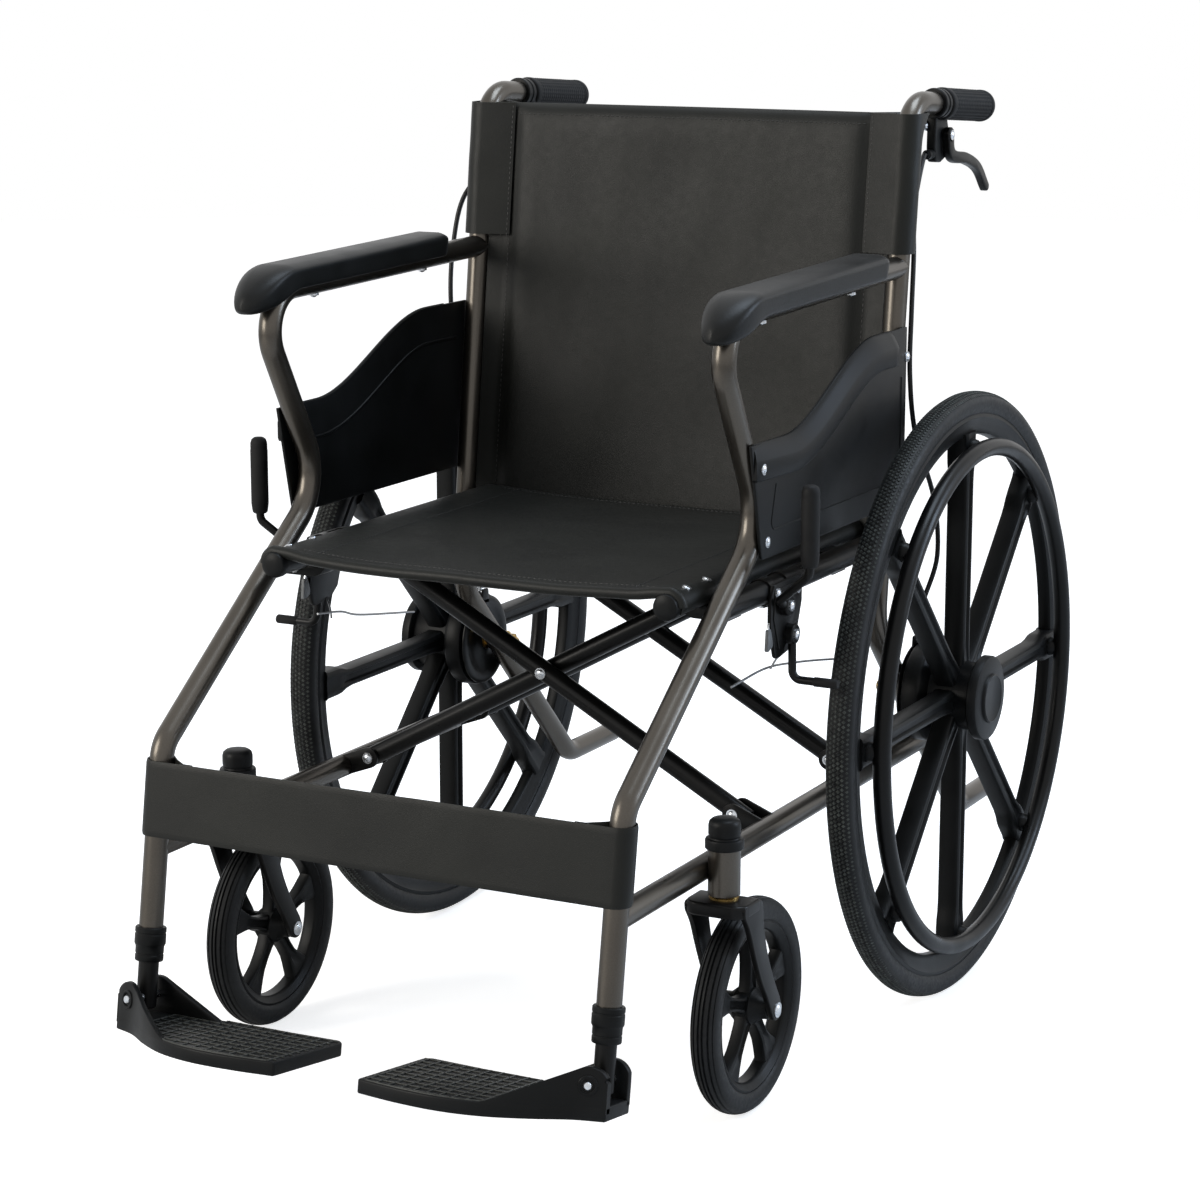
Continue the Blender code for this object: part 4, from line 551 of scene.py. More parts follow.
def foot_matrix():
    """From the footrest's own frame, with its hinge bolt as origin, to the left side."""
    z = FOOT_TUBE_END_Z - HINGE_BELOW_TUBE * math.cos(FOOT_LEAN)
    return Matrix.Translation((FRAME_X, foot_tube_y(z), z)) @ Matrix.Rotation(-FOOT_LEAN, 4, "X")


# Flat outlines

def arc(centre, radius, start, end, steps):
    """Points on a circle, from one angle in degrees to another."""
    return [(centre[0] + radius * math.cos(math.radians(start + (end - start) * i / steps)),
             centre[1] + radius * math.sin(math.radians(start + (end - start) * i / steps)))
            for i in range(steps + 1)]


def link_outline(start, end, start_r, end_r, steps=14):
    """A flat link with round ends of two radii."""
    way = math.degrees(math.atan2(end[1] - start[1], end[0] - start[0]))
    return arc(start, start_r, way + 90, way + 270, steps) + arc(end, end_r, way - 90, way + 90, steps)


def rounded_outline(corners, radii, step=math.radians(15)):
    """A closed outline whose corners are rounded."""
    loop = [Vector((*corner, 0)) for corner in corners]
    radii = radii if isinstance(radii, (list, tuple)) else [radii] * len(loop)
    points = []
    for i, radius in enumerate(radii):
        points += bend(loop[i - 1], loop[i], loop[(i + 1) % len(loop)], radius, step)
    return [(point.x, point.y) for point in points]


# Meshes

def settled(bm, sharp=38):
    """The finished mesh: doubles merged, faces outwards, round parts smooth and edges crisp."""
    bmesh.ops.remove_doubles(bm, verts=bm.verts, dist=2e-6)
    bmesh.ops.recalc_face_normals(bm, faces=bm.faces)
    mesh = bpy.data.meshes.new("shape")
    bm.to_mesh(mesh)
    bm.free()
    mesh.shade_smooth()
    mesh.set_sharp_from_angle(angle=math.radians(sharp))
    return mesh


def lofted(rings, loop=False, sharp=38):
    """A closed shell through rings of equally many points."""
    bm = bmesh.new()
    rows = [[bm.verts.new(point) for point in ring] for ring in rings]
    for first, second in list(zip(rows, rows[1:])) + ([(rows[-1], rows[0])] if loop else []):
        for i in range(len(first)):
            j = (i + 1) % len(first)
            bm.faces.new((first[i], first[j], second[j], second[i]))
    if not loop:
        bm.faces.new(rows[0])
        bm.faces.new(rows[-1])
    return settled(bm, sharp)


def turned(profile, axis="X", centre=(0, 0, 0), segments=64, loop=False):
    """A profile of (radius, distance along the axis) pairs, spun round the axis."""
    order = {"X": lambda a, b, t: (t, a, b), "Y": lambda a, b, t: (b, t, a), "Z": lambda a, b, t: (a, b, t)}[axis]
    rings = []
    for radius, along in profile:
        ring = [order(radius * math.cos(2 * math.pi * i / segments), radius * math.sin(2 * math.pi * i / segments),
                      along) for i in range(segments)]
        rings.append([Vector(centre) + Vector(point) for point in ring])
    return lofted(rings, loop)


def both_sides(side):
    """A profile's half and its mirror image, for a closed ring."""
    return [(a, -b) for a, b in side] + [(a, b) for a, b in reversed(side)]


def four_ways(quarter):
    """A closed section from its upper right quarter, mirrored both ways."""
    half = quarter + [(x, -y) for x, y in reversed(quarter)]
    ring = half + [(-x, -y) for x, y in half]
    return ring[-1:] + ring[:-1]


def prism(outline, axis, low, high, round_off=0.0, steps=2):
    """An outline given thickness along an axis, with its edges rounded off."""
    order = {"X": lambda a, b, t: (t, a, b), "Y": lambda a, b, t: (a, t, b), "Z": lambda a, b, t: (a, b, t)}[axis]
    bm = bmesh.new()
    first, second = ([bm.verts.new(order(a, b, t)) for a, b in outline] for t in (low, high))
    bm.faces.new(first)
    bm.faces.new(second)
    for i in range(len(first)):
        j = (i + 1) % len(first)
        bm.faces.new((first[i], first[j], second[j], second[i]))
    bmesh.ops.remove_doubles(bm, verts=bm.verts, dist=2e-6)
    bmesh.ops.recalc_face_normals(bm, faces=bm.faces)
    if round_off:
        edges = [edge for edge in bm.edges if edge.calc_face_angle(0) > math.radians(32)]
        bmesh.ops.bevel(bm, geom=edges, offset=round_off, segments=steps, profile=0.5, affect="EDGES",
                        clamp_overlap=True)
    return settled(bm)


def pin(y, z, low_x, high_x, radius, sides=28, round_off=0.0006):
    """A round pin along X with softened ends."""
    r = min(round_off, radius * 0.4)
    return turned([(0, low_x), (radius - r, low_x), (radius, low_x + r), (radius, high_x - r), (radius - r, high_x),
                   (0, high_x)], "X", (0, y, z), sides)


def moved(mesh, matrix):
    mesh.transform(matrix)
    return mesh


def mirrored(mesh):
    copy = mesh.copy()
    copy.transform(Matrix.Scale(-1, 4, (1, 0, 0)))
    copy.flip_normals()
    return copy


def dressed(parts):
    """One mesh of several, each with its own material."""
    whole = bmesh.new()
    finishes = []
    for mesh, maker in parts:
        material = finish(maker)
        if material not in finishes:
            finishes.append(material)
        start = len(whole.faces)
        whole.from_mesh(mesh)
        whole.faces.ensure_lookup_table()
        for face in whole.faces[start:]:
            face.material_index = finishes.index(material)
        bpy.data.meshes.remove(mesh)
    made = bpy.data.meshes.new("piece")
    whole.to_mesh(made)
    whole.free()
    for material in finishes:
        made.materials.append(material)
    return made


def show(name, body, parts, nodes=()):
    """A finished piece that rides on a body, moved from the axle's frame to the model's."""
    mesh = dressed(parts)
    mesh.name = name
    mesh.transform(Matrix.Translation((0, AXLE_Y, 0)))
    piece = bpy.data.objects.new(name, mesh)
    bpy.context.scene.collection.objects.link(piece)
    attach(piece, body)
    if nodes:
        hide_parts(*nodes)
    return piece


def show_pair(name, body, parts, nodes=()):
    """The left piece and its mirror image; body and nodes are named without their side."""
    others = [(mirrored(mesh), maker) for mesh, maker in parts]
    for side, shapes in (("left", parts), ("right", others)):
        show(side + "_" + name, side + "_" + body, shapes, [side + "_" + node for node in nodes])


# Geometry Nodes for what repeats or follows a line

TREES = {}


def new_tree(name, sockets):
    """A tree with these named inputs; gives the tree and its input node."""
    tree = bpy.data.node_groups.new(name, "GeometryNodeTree")
    tree.interface.new_socket("Geometry", in_out="INPUT", socket_type="NodeSocketGeometry")
    for label, kind, value in sockets:
        made = tree.interface.new_socket(label, in_out="INPUT", socket_type="NodeSocket" + kind)
        if value is not None:
            made.default_value = value
    tree.interface.new_socket("Material", in_out="INPUT", socket_type="NodeSocketMaterial")
    tree.interface.new_socket("Geometry", in_out="OUTPUT", socket_type="NodeSocketGeometry")
    return tree, add(tree, "NodeGroupInput")


def end_tree(tree, start, geometry):
    """Instances made real, shaded and given the material."""
    real = add(tree, "GeometryNodeRealizeInstances", {"Geometry": geometry})
    painted = add(tree, "GeometryNodeSetMaterial", {"Geometry": real.outputs["Geometry"],
                                                    "Material": start.outputs["Material"]})
    add(tree, "NodeGroupOutput", {"Geometry": painted.outputs["Geometry"]})
    return tree


def tube_tree():
    """Round tube along a line, tapered by the line's own radius attribute if it has one."""
    tree, start = new_tree("tube_along_line", (("Radius", "Float", 0.01), ("Sides", "Int", 24)))
    line = add(tree, "GeometryNodeMeshToCurve", {"Mesh": start.outputs["Geometry"]})
    ring = add(tree, "GeometryNodeCurvePrimitiveCircle", {"Resolution": start.outputs["Sides"],
                                                         "Radius": start.outputs["Radius"]})
    swept = add(tree, "GeometryNodeCurveToMesh", {"Curve": line.outputs["Curve"], "Fill Caps": True,
                                                  "Profile Curve": ring.outputs["Curve"]})
    return end_tree(tree, start, swept.outputs["Mesh"])


def ring_tree():
    """Copies of a shape, turned evenly round an axle along X."""
    tree, start = new_tree("copies_round_axle", (("Count", "Int", 8), ("Centre", "Vector", (0, 0, 0))))
    points = add(tree, "GeometryNodePoints", {"Count": start.outputs["Count"], "Position": start.outputs["Centre"]})
    turn = add(tree, "ShaderNodeMath", {0: 2 * math.pi, 1: start.outputs["Count"]}, operation="DIVIDE")
    angle = add(tree, "ShaderNodeMath", {0: add(tree, "GeometryNodeInputIndex").outputs["Index"],
                                         1: turn.outputs["Value"]}, operation="MULTIPLY")
    euler = add(tree, "ShaderNodeCombineXYZ", {"X": angle.outputs["Value"]})
    turned_by = add(tree, "FunctionNodeEulerToRotation", {"Euler": euler.outputs["Vector"]})
    copies = add(tree, "GeometryNodeInstanceOnPoints", {"Points": points.outputs["Points"],
                                                        "Instance": start.outputs["Geometry"],
                                                        "Rotation": turned_by.outputs["Rotation"]})
    return end_tree(tree, start, copies.outputs["Instances"])


def stitch_tree():
    """Stitches laid one after the other along a seam line."""
    tree, start = new_tree("stitches_along_seam", (("Pitch", "Float", 0.005), ("Length", "Float", 0.0036),
                                                   ("Thickness", "Float", 0.0009)))
    line = add(tree, "GeometryNodeMeshToCurve", {"Mesh": start.outputs["Geometry"]})
    points = add(tree, "GeometryNodeCurveToPoints", {"Curve": line.outputs["Curve"],
                                                     "Length": start.outputs["Pitch"]}, mode="LENGTH")
    bead = add(tree, "GeometryNodeMeshUVSphere", {"Segments": 6, "Rings": 5, "Radius": 0.5})
    size = add(tree, "ShaderNodeCombineXYZ", {"X": start.outputs["Thickness"], "Y": start.outputs["Thickness"],
                                              "Z": start.outputs["Length"]})
    copies = add(tree, "GeometryNodeInstanceOnPoints", {"Points": points.outputs["Points"],
                                                        "Instance": bead.outputs["Mesh"],
                                                        "Rotation": points.outputs["Rotation"],
                                                        "Scale": size.outputs["Vector"]})
    return end_tree(tree, start, copies.outputs["Instances"])


def screw_tree():
    """Domed heads on washers, one at each point, facing the way that the point carries."""
    tree, start = new_tree("domed_screws", (("Head", "Float", 0.0045), ("Height", "Float", 0.0022),
                                            ("Washer", "Float", 1.3)))
    way = add(tree, "GeometryNodeInputNamedAttribute", {"Name": "way"}, data_type="FLOAT_VECTOR")
    aim = add(tree, "FunctionNodeAlignRotationToVector", {"Vector": way.outputs["Attribute"]}, axis="Z")
    dome = add(tree, "GeometryNodeMeshUVSphere", {"Segments": 20, "Rings": 12, "Radius": start.outputs["Head"]})
    flat = add(tree, "ShaderNodeMath", {0: start.outputs["Height"], 1: start.outputs["Head"]}, operation="DIVIDE")
    low = add(tree, "ShaderNodeCombineXYZ", {"X": 1.0, "Y": 1.0, "Z": flat.outputs["Value"]})
    domed = add(tree, "GeometryNodeTransform", {"Geometry": dome.outputs["Mesh"], "Scale": low.outputs["Vector"]})
    wide = add(tree, "ShaderNodeMath", {0: start.outputs["Head"], 1: start.outputs["Washer"]}, operation="MULTIPLY")
    thin = add(tree, "ShaderNodeMath", {0: start.outputs["Height"], 1: 0.7}, operation="MULTIPLY")
    washer = add(tree, "GeometryNodeMeshCylinder", {"Vertices": 24, "Radius": wide.outputs["Value"],
                                                    "Depth": thin.outputs["Value"]})
    both = add(tree, "GeometryNodeJoinGeometry")
    tree.links.new(washer.outputs["Mesh"], both.inputs["Geometry"])
    tree.links.new(domed.outputs["Geometry"], both.inputs["Geometry"])
    copies = add(tree, "GeometryNodeInstanceOnPoints", {"Points": start.outputs["Geometry"],
                                                        "Instance": both.outputs["Geometry"],
                                                        "Rotation": aim.outputs["Rotation"]})
    return end_tree(tree, start, copies.outputs["Instances"])


def grown(tree_maker, mesh, maker, **values):
    """What a tree makes of a mesh, as a plain mesh and its material's maker."""
    if tree_maker not in TREES:
        TREES[tree_maker] = tree_maker()
    tree = TREES[tree_maker]
    guide = bpy.data.objects.new("guide", mesh)
    bpy.context.scene.collection.objects.link(guide)
    modifier = guide.modifiers.new("nodes", "NODES")
    modifier.node_group = tree
    values["Material"] = finish(maker)
    for item in tree.interface.items_tree:
        if item.in_out == "INPUT" and item.name in values:
            modifier[item.identifier] = values[item.name]
    bpy.context.view_layer.update()
    made = bpy.data.meshes.new_from_object(guide.evaluated_get(bpy.context.evaluated_depsgraph_get()))
    bpy.data.objects.remove(guide)
    bpy.data.meshes.remove(mesh)
    made.shade_smooth()
    made.set_sharp_from_angle(angle=math.radians(38))
    return made, maker


def line_mesh(path, closed=False):
    mesh = bpy.data.meshes.new("line")
    last = len(path) - 1
    mesh.from_pydata([tuple(point) for point in path], [(i, i + 1) for i in range(last)]
                     + ([(last, 0)] if closed else []), [])
    return mesh


def tube(path, radius, maker, sides=32, closed=False):
    """A round tube along a path; a list of radii makes it taper."""
    line = line_mesh(path, closed)
    if isinstance(radius, list):
        share = line.attributes.new("radius", "FLOAT", "POINT")
        share.data.foreach_set("value", [r / max(radius) for r in radius])
        radius = max(radius)
    return grown(tube_tree, line, maker, Radius=radius, Sides=sides)


def domed_ends(path, radius, reach=None):
    """A path and its radii with both ends rounded off over a short reach."""
    reach = reach or radius * 0.5
    first = (path[1] - path[0]).normalized()
    last = (path[-1] - path[-2]).normalized()
    steps = [(0.0, 0.55), (0.08, 0.75), (0.25, 0.9), (0.55, 0.98), (1.0, 1.0)]
    start = [path[0] + first * reach * share for share, _ in steps]
    end = [path[-1] - last * reach * share for share, _ in reversed(steps)]
    radii = [radius * r for _, r in steps]
    return start + path[1:-1] + end, radii + [radius] * (len(path) - 2) + radii[::-1]


def copies(mesh, maker, count, centre):
    return grown(ring_tree, mesh, maker, Count=count, Centre=centre)


def stitches(path, closed=False):
    sizes = bpy.context.scene.chair_cloth
    return grown(stitch_tree, line_mesh(path, closed), thread, Pitch=sizes.stitch_pitch, Length=sizes.stitch)


def screws(places, maker, head=0.0045, height=0.0022, washer=1.3):
    """Screw heads at (point, way) places."""
    mesh = bpy.data.meshes.new("places")
    mesh.from_pydata([tuple(point) for point, _ in places], [], [])
    ways = mesh.attributes.new("way", "FLOAT_VECTOR", "POINT")
    ways.data.foreach_set("vector", [value for _, way in places for value in way])
    return grown(screw_tree, mesh, maker, Head=head, Height=height, Washer=washer)


def along(mesh, point, way):
    """A mesh made upright round +Z, set on a point with its top turned to a direction."""
    turn = Vector(way).to_track_quat("Z", "Y").to_matrix().to_4x4()
    return moved(mesh, Matrix.Translation(point) @ turn)


# Side frames

def side_tubes():
    sizes = bpy.context.scene.chair_frame
    front = tube(front_tube_path(), sizes.tube, painted_tube, sizes.facets)
    show_pair("arm_and_foot_tube", "frame", [front], ["front_frame_tube"])
    rear = tube(rear_tube_path(), sizes.tube, painted_tube, sizes.facets)
    plug = turned([(0, 0.0035), (0.006, 0.0034), (0.0088, 0.0022), (0.0102, 0), (0.0102, -0.004), (0, -0.004)], "Y",
                  (FRAME_X, TIP_END_Y, WHEEL_Z - TIP_BEND_Y), 32)
    show_pair("handle_and_tipping_tube", "frame", [rear, (plug, moulded_plastic)], ["rear_frame_tube"])


def cradle_outline():
    """A saddle that holds a seat rail from below, with room for the cloth beside it."""
    seat_r, cloth_r, wall, depth = TUBE_FACE, 0.0142, 0.006, 0.022
    rail = (SEAT_RAIL_X, SEAT_RAIL_Z)
    outline = arc(rail, seat_r, 200, 318, 16) + arc(rail, cloth_r, 318, 360, 6)
    outline += [(FRAME_X, SEAT_RAIL_Z), (FRAME_X, SEAT_RAIL_Z - depth), (SEAT_RAIL_X + wall, SEAT_RAIL_Z - depth)]
    outline += arc((SEAT_RAIL_X - 0.002, SEAT_RAIL_Z - 0.0065), 0.0155, 262, 186, 8)
    return outline


def seat_tubes():
    sizes = bpy.context.scene.chair_frame
    bar = tube(in_frame([(thigh_y(SEAT_TUBE_Z), SEAT_TUBE_Z), (post_y(SEAT_TUBE_Z), SEAT_TUBE_Z)]), sizes.tube,
               black_paint, sizes.facets)
    saddle = prism(cradle_outline(), "Y", -0.18, -0.15, 0.0008)
    show_pair("seat_height_tube", "frame", [bar, (saddle, black_paint)], ["seat_side_tube"])
    cradle = prism(cradle_outline(), "Y", -0.417, -0.387, 0.0012)
    bolts = screws([((FRAME_X - 0.014, -0.4175, SEAT_RAIL_Z - 0.015), (0, -1, 0))], zinc, 0.0036, 0.0018)
    show_pair("seat_rail_rest", "frame", [(cradle, moulded_plastic), bolts], ["rail_cradle"])


def lower_rails():
    """The lower tubes, each with its caster's bearing housing and the lugs of the brace."""
    sizes = bpy.context.scene.chair_frame
    low, high, r = HOUSING_LOW, 0.262, 0.0146
    for side, sign in SIDES:
        bar = tube(in_frame([(foot_tube_y(BOTTOM_RAIL_Z), BOTTOM_RAIL_Z),
                             (WHEEL_Z - BOTTOM_RAIL_Z, BOTTOM_RAIL_Z)]), sizes.tube, painted_tube, sizes.facets)
        centre = (CASTER_X, CASTER_STEM_Y, 0)
        housing = turned([(0, low), (r - 0.001, low), (r, low + 0.001), (r, high), (0, high)], "Z", centre, 48)
        cap = turned([(0, high), (0.0168, high), (0.0175, high + 0.0008), (0.0175, high + 0.0078),
                      (0.0168, high + 0.0092), (0.0143, high + 0.0098), (0.0138, high + 0.0108),
                      (0.0143, high + 0.012), (0.0146, high + 0.014), (0.0146, high + 0.0215),
                      (0.0137, high + 0.025), (0.011, high + 0.0272), (0.006, high + 0.028), (0, high + 0.028)],
                     "Z", centre, 48)
        ears, heads = [], []
        for y in BRACE_Y:
            middle = y - sign * BRACE_SHIFT
            for way in (-1, 1):
                near, far = middle + way * 0.0101, middle + way * 0.0131
                outline = link_outline((FRAME_X, BOTTOM_RAIL_Z), (SEAT_RAIL_X, BRACE_LOW_Z), 0.0101, 0.0105)
                ears.append((prism(outline, "Y", min(near, far), max(near, far), 0.0006), black_paint))
                heads.append(((SEAT_RAIL_X, far, BRACE_LOW_Z), (0, way, 0)))
        parts = [bar, (housing, painted_tube), (cap, moulded_plastic), *ears,
                 screws(heads, zinc, sizes.bolt * 0.66, 0.0034, 1.22)]
        if side == "right":
            parts = [(mirrored(mesh), maker) for mesh, maker in parts]
        show(side + "_lower_tube", side + "_frame", parts, [side + "_bottom_rail"])


def guard_top(steps):
    """The curved top edge of a skirt guard, from front to back."""
    low, high = 0.605, 0.672
    front, rear = front_tube_y(low) - 0.011, post_y(high) - 0.0008
    points = []
    for i in range(steps + 1):
        y = front + (rear - front) * i / steps
        share = min(1, max(0, (y + 0.33) / 0.21))
        points.append((y, low + (high - low) * share * share * (3 - 2 * share)))
    return points


def way_at(line, i):
    """The direction of a line at one of its points."""
    return (Vector(line[min(len(line) - 1, i + 1)]) - Vector(line[max(0, i - 1)])).normalized()


def beside(points, distance):
    """The line that runs this far above another one."""
    made = []
    for i, point in enumerate(points):
        way = way_at(points, i)
        made.append((point[0] - way.y * distance, point[1] + way.x * distance))
    return made


def skirt_guards():
    """Moulded side panels with a rolled band under their curved top, ribbed inside, screwed on."""
    trim = bpy.context.scene.chair_trim
    inner, panel_t, band_t = FRAME_X + TUBE_FACE, 0.003, 0.0133
    top = guard_top(48)
    low_front = front_tube_y(WAIST[1]) - 0.0278
    rear = top[-1][0]
    raised = beside(top, 0.0055)
    outline = rounded_outline(raised + [(rear, 0.504), (low_front, 0.504)], [0] * len(top) + [0.004, 0.005])
    panel = prism(outline, "X", inner, inner + panel_t, 0.0007)
    low = 0.0065 - trim.band_drop
    section = [(0.0006, low), (band_t - 0.0022, low), (band_t - 0.0008, low + 0.0006), (band_t, low + 0.0024),
               (band_t, -0.01), (band_t - 0.0006, -0.0085), (band_t - 0.0024, -0.0045), (band_t - 0.0056, 0.0015),
               (band_t - 0.0082, 0.0048), (0.0036, 0.006), (0.0024, 0.0064), (0.0012, 0.0062), (0.0006, 0.0052)]
    line = [(y, z) for y, z in top[1:] if y < rear - 0.042]
    rings = []
    for i, (y, z) in enumerate(line):
        way = way_at(line, i)
        full = 0.42 + 0.58 * min(1, (y - line[0][0]) / 0.075) ** 0.8
        rings.append([(inner + (u if u < 0.001 else u * full), y - way.y * v, z + way.x * v) for u, v in section])
    for end, inward in ((0, -1), (-1, 1)):
        ring = [Vector(point) for point in rings[end]]
        middle = sum(ring, Vector()) / len(ring)
        shrunk = [middle + (point - middle) * 0.9 + Vector((0, inward * 0.0014, 0)) for point in ring]
        rings.insert(0 if end == 0 else len(rings), shrunk)
    band = lofted(rings, sharp=30)
    ridge_line = [(y, z) for y, z in beside(top, -trim.band_drop + 0.003)
                  if front_tube_y(z) + 0.014 < y < post_y(z) - 0.014]
    ridge = tube([Vector((inner + 0.0004, y, z)) for y, z in ridge_line], 0.0016, moulded_plastic, 10)
    inset = 0.013
    edge = rounded_path([(inner + panel_t, low_front + 0.016 + inset, 0.57),
                         (inner + panel_t, low_front + 0.004 + inset, 0.5285),
                         (inner + panel_t, rear - inset, 0.5285), (inner + panel_t, rear - inset, 0.63)],
                        [0.008, 0.008], math.radians(15))
    border = tube(edge, 0.0008, moulded_plastic, 8)
    face = inner + panel_t
    heads = screws([((inner + band_t * 0.5, front_tube_y(0.587) - 0.003, 0.588), (1, 0, 0)),
                    ((face, low_front + 0.011, 0.519), (1, 0, 0)),
                    ((face, post_y(0.64) + 0.004, 0.648), (1, 0, 0)), ((face, post_y(0.54), 0.54), (1, 0, 0))],
                   zinc, trim.screw, 0.0026, 1.15)
    show_pair("guard_panel", "frame", [(panel, moulded_plastic), (band, moulded_plastic), ridge, border, heads],
              ["skirt_guard"])


def arm_pads():
    """Foam pads whose nose dips over the front bend, with a crease between top and side."""
    trim = bpy.context.scene.chair_trim
    nose, rear = -0.468, -0.12
    length = rear - nose
    rings = []
    stations = 56
    for i in range(stations + 1):
        share = i / stations
        along_pad = 0.5 * (1 - math.cos(math.pi * share)) * 0.35 + share * 0.65
        y = nose + length * along_pad
        front = min(1, along_pad / 0.16)
        back = min(1, (1 - along_pad) / 0.022)
        swell = math.sqrt(max(0.0, 1 - (1 - front) ** 2.3))
        tail = math.sqrt(max(0.0, 1 - (1 - back) ** 2.0))
        centre = arm_z(max(y, ARM_CORNER[0]))
        top = centre + 0.02 - 0.01 * (1 - front) ** 2
        drop = 0.019 * max(0, 1 - along_pad / 0.2)
        bottom = centre - 0.001 - drop
        middle = (top + bottom) / 2 - 0.008 * (1 - front)
        half_h = (top - bottom) / 2 * max(0.03, swell) * (0.75 + 0.25 * tail)
        half_w = trim.pad_half * max(0.05, swell) * (1 + 0.06 * max(0, 1 - along_pad / 0.3)) * (0.84 + 0.16 * tail)
        power = 0.25 + 0.55 * (1 - front) ** 1.8
        ring = []
        for k in range(56):
            angle = 2 * math.pi * (k + 0.5) / 56
            c, s = math.cos(angle), math.sin(angle)
            across = math.copysign(abs(c) ** power, c)
            up = math.copysign(abs(s) ** power, s)
            crown = 0.0048 * (1 - across * across) * max(0, up)
            ring.append((FRAME_X + 0.006 + across * half_w * (1 - 0.05 * (1 - up)), y,
                         middle + up * half_h + crown))
        rings.append(ring)
    pad = lofted(rings, sharp=70)
    under = screws([((FRAME_X, y, arm_z(y) - 0.0111), (0, 0, -1)) for y in (-0.353, -0.15)], zinc, 0.004, 0.0034,
                   1.3)
    show_pair("arm_rest", "frame", [(pad, arm_foam), under], ["arm_pad"])


HANDLE_WAY = Vector((0, HANDLE_END[0] - HANDLE_CORNER[0], HANDLE_END[1] - HANDLE_CORNER[1])).normalized()


def push_grips():
    """Rubber grips with rows of small studs, a collar at the front and a rounded end."""
    trim = bpy.context.scene.chair_trim
    length, start = 0.121, 0.071
    around, rings = 96, []
    for i in range(133):
        t = length * i / 132
        low_end = min(1, t / 0.003)
        high_end = min(1, (length - t) / 0.01)
        ease = (0.9 + 0.1 * math.sqrt(1 - (1 - low_end) ** 2)) * math.sqrt(max(0.0, 1 - (1 - high_end) ** 2.4))
        studded = 0.0075 < t < length - 0.013
        ring = []
        for k in range(around):
            angle = 2 * math.pi * k / around
            stud = 0.0
            if studded:
                row = math.cos(2 * math.pi * (t - 0.0075) / (length - 0.0205) * trim.grip_ribs)
                stud = -0.001 + 0.001 * max(0, -row) * (0.55 + 0.45 * math.cos(24 * angle))
            radius = max(0.0004, (trim.grip + stud) * ease)
            ring.append((radius * math.cos(angle), radius * math.sin(angle), t))
        rings.append(ring)
    grip = along(lofted(rings, sharp=60), (FRAME_X, start, handle_z(start)), HANDLE_WAY)
    show_pair("handle_grip", "frame", [(grip, grip_rubber)], ["push_grip"])


LEVER_PIVOT = (0.084, handle_z(0.084) - 0.0307)
CABLE_START = (0.05, handle_z(0.06) - 0.0503)


def hand_brakes():
    """Clamp, arm and barrel under each handle, with the lever that is squeezed."""
    out, inward = FRAME_X - GAP, FRAME_X - GAP - 0.01
    r = 0.015
    band = turned([(0, 0), (r - 0.001, 0), (r, 0.001), (r, 0.0058), (r - 0.0009, 0.0066), (r - 0.0009, 0.0094),
                   (r, 0.0102), (r, 0.015), (r - 0.001, 0.016), (0, 0.016)], "Z", segments=48)
    along(band, (FRAME_X, 0.052, handle_z(0.052)), HANDLE_WAY)
    top, low = handle_z(0.066) - 0.0085, CABLE_START[1]
    arm = prism(rounded_outline([(0.062, top), (0.09, top), (0.098, LEVER_PIVOT[1] + 0.004), (0.0965, low - 0.003),
                                 (0.078, low - 0.009), (0.064, low - 0.008), (0.061, low + 0.006)],
                                [0.004, 0.008, 0.008, 0.007, 0.006, 0.005, 0.006]), "X", inward, out, 0.002, 3)
    cheek = prism(link_outline((0.07, top - 0.004), LEVER_PIVOT, 0.006, 0.0072), "X", inward - 0.0016, inward,
                  0.0007)
    barrel = turned([(0, 0.0475), (0.0034, 0.0475), (0.0034, 0.0495), (0.0048, 0.0505), (0.0048, 0.056),
                     (0.0042, 0.0566), (0.0048, 0.0572), (0.0048, 0.068), (0, 0.068)], "Y",
                    (inward + 0.005, 0, CABLE_START[1]), 28)
    pivot = pin(*LEVER_PIVOT, inward - 0.001, out + 0.01, 0.0029)
    heads = screws([((out + 0.0086, *LEVER_PIVOT), (1, 0, 0)), ((inward, *LEVER_PIVOT), (-1, 0, 0)),
                    ((inward, 0.061, LEVER_PIVOT[1] + 0.01), (-1, 0, 0))], zinc, 0.004, 0.0022, 1.3)
    show_pair("brake_lever_mount", "frame", [(band, moulded_plastic), (arm, moulded_plastic),
                                             (cheek, moulded_plastic), (barrel, moulded_plastic), (pivot, zinc),
                                             heads], ["hand_brake_bracket"])
    low = out + 0.0006
    spine = smooth_path([Vector((0, LEVER_PIVOT[0] + 0.105 * a, LEVER_PIVOT[1] - 0.058 * d))
                         for a, d in ((0, 0), (0.03, 0.26), (0.14, 0.385), (0.45, 0.45), (0.77, 0.64), (1, 1))], 9)
    line = [(point.y, point.z) for point in spine]
    left, right = [], []
    for i, point in enumerate(line):
        way = way_at(line, i)
        half = 0.007 - 0.0022 * i / (len(line) - 1)
        left.append((point[0] - way.y * half, point[1] + way.x * half))
        right.append((point[0] + way.y * half, point[1] - way.x * half))
    end = Vector(line[-1])
    way = math.degrees(math.atan2(line[-1][1] - line[-2][1], line[-1][0] - line[-2][0]))
    tip = arc(end, 0.0048, way + 75, way - 75, 8)
    blade = prism(left + tip + right[::-1], "X", low, low + 0.008, 0.0026, 4)
    eye = pin(*LEVER_PIVOT, low, low + 0.008, 0.0078, 32, 0.0012)
    show_pair("squeeze_lever", "hand_lever", [(blade, black_paint), (eye, black_paint)], ["hand_brake_lever"])


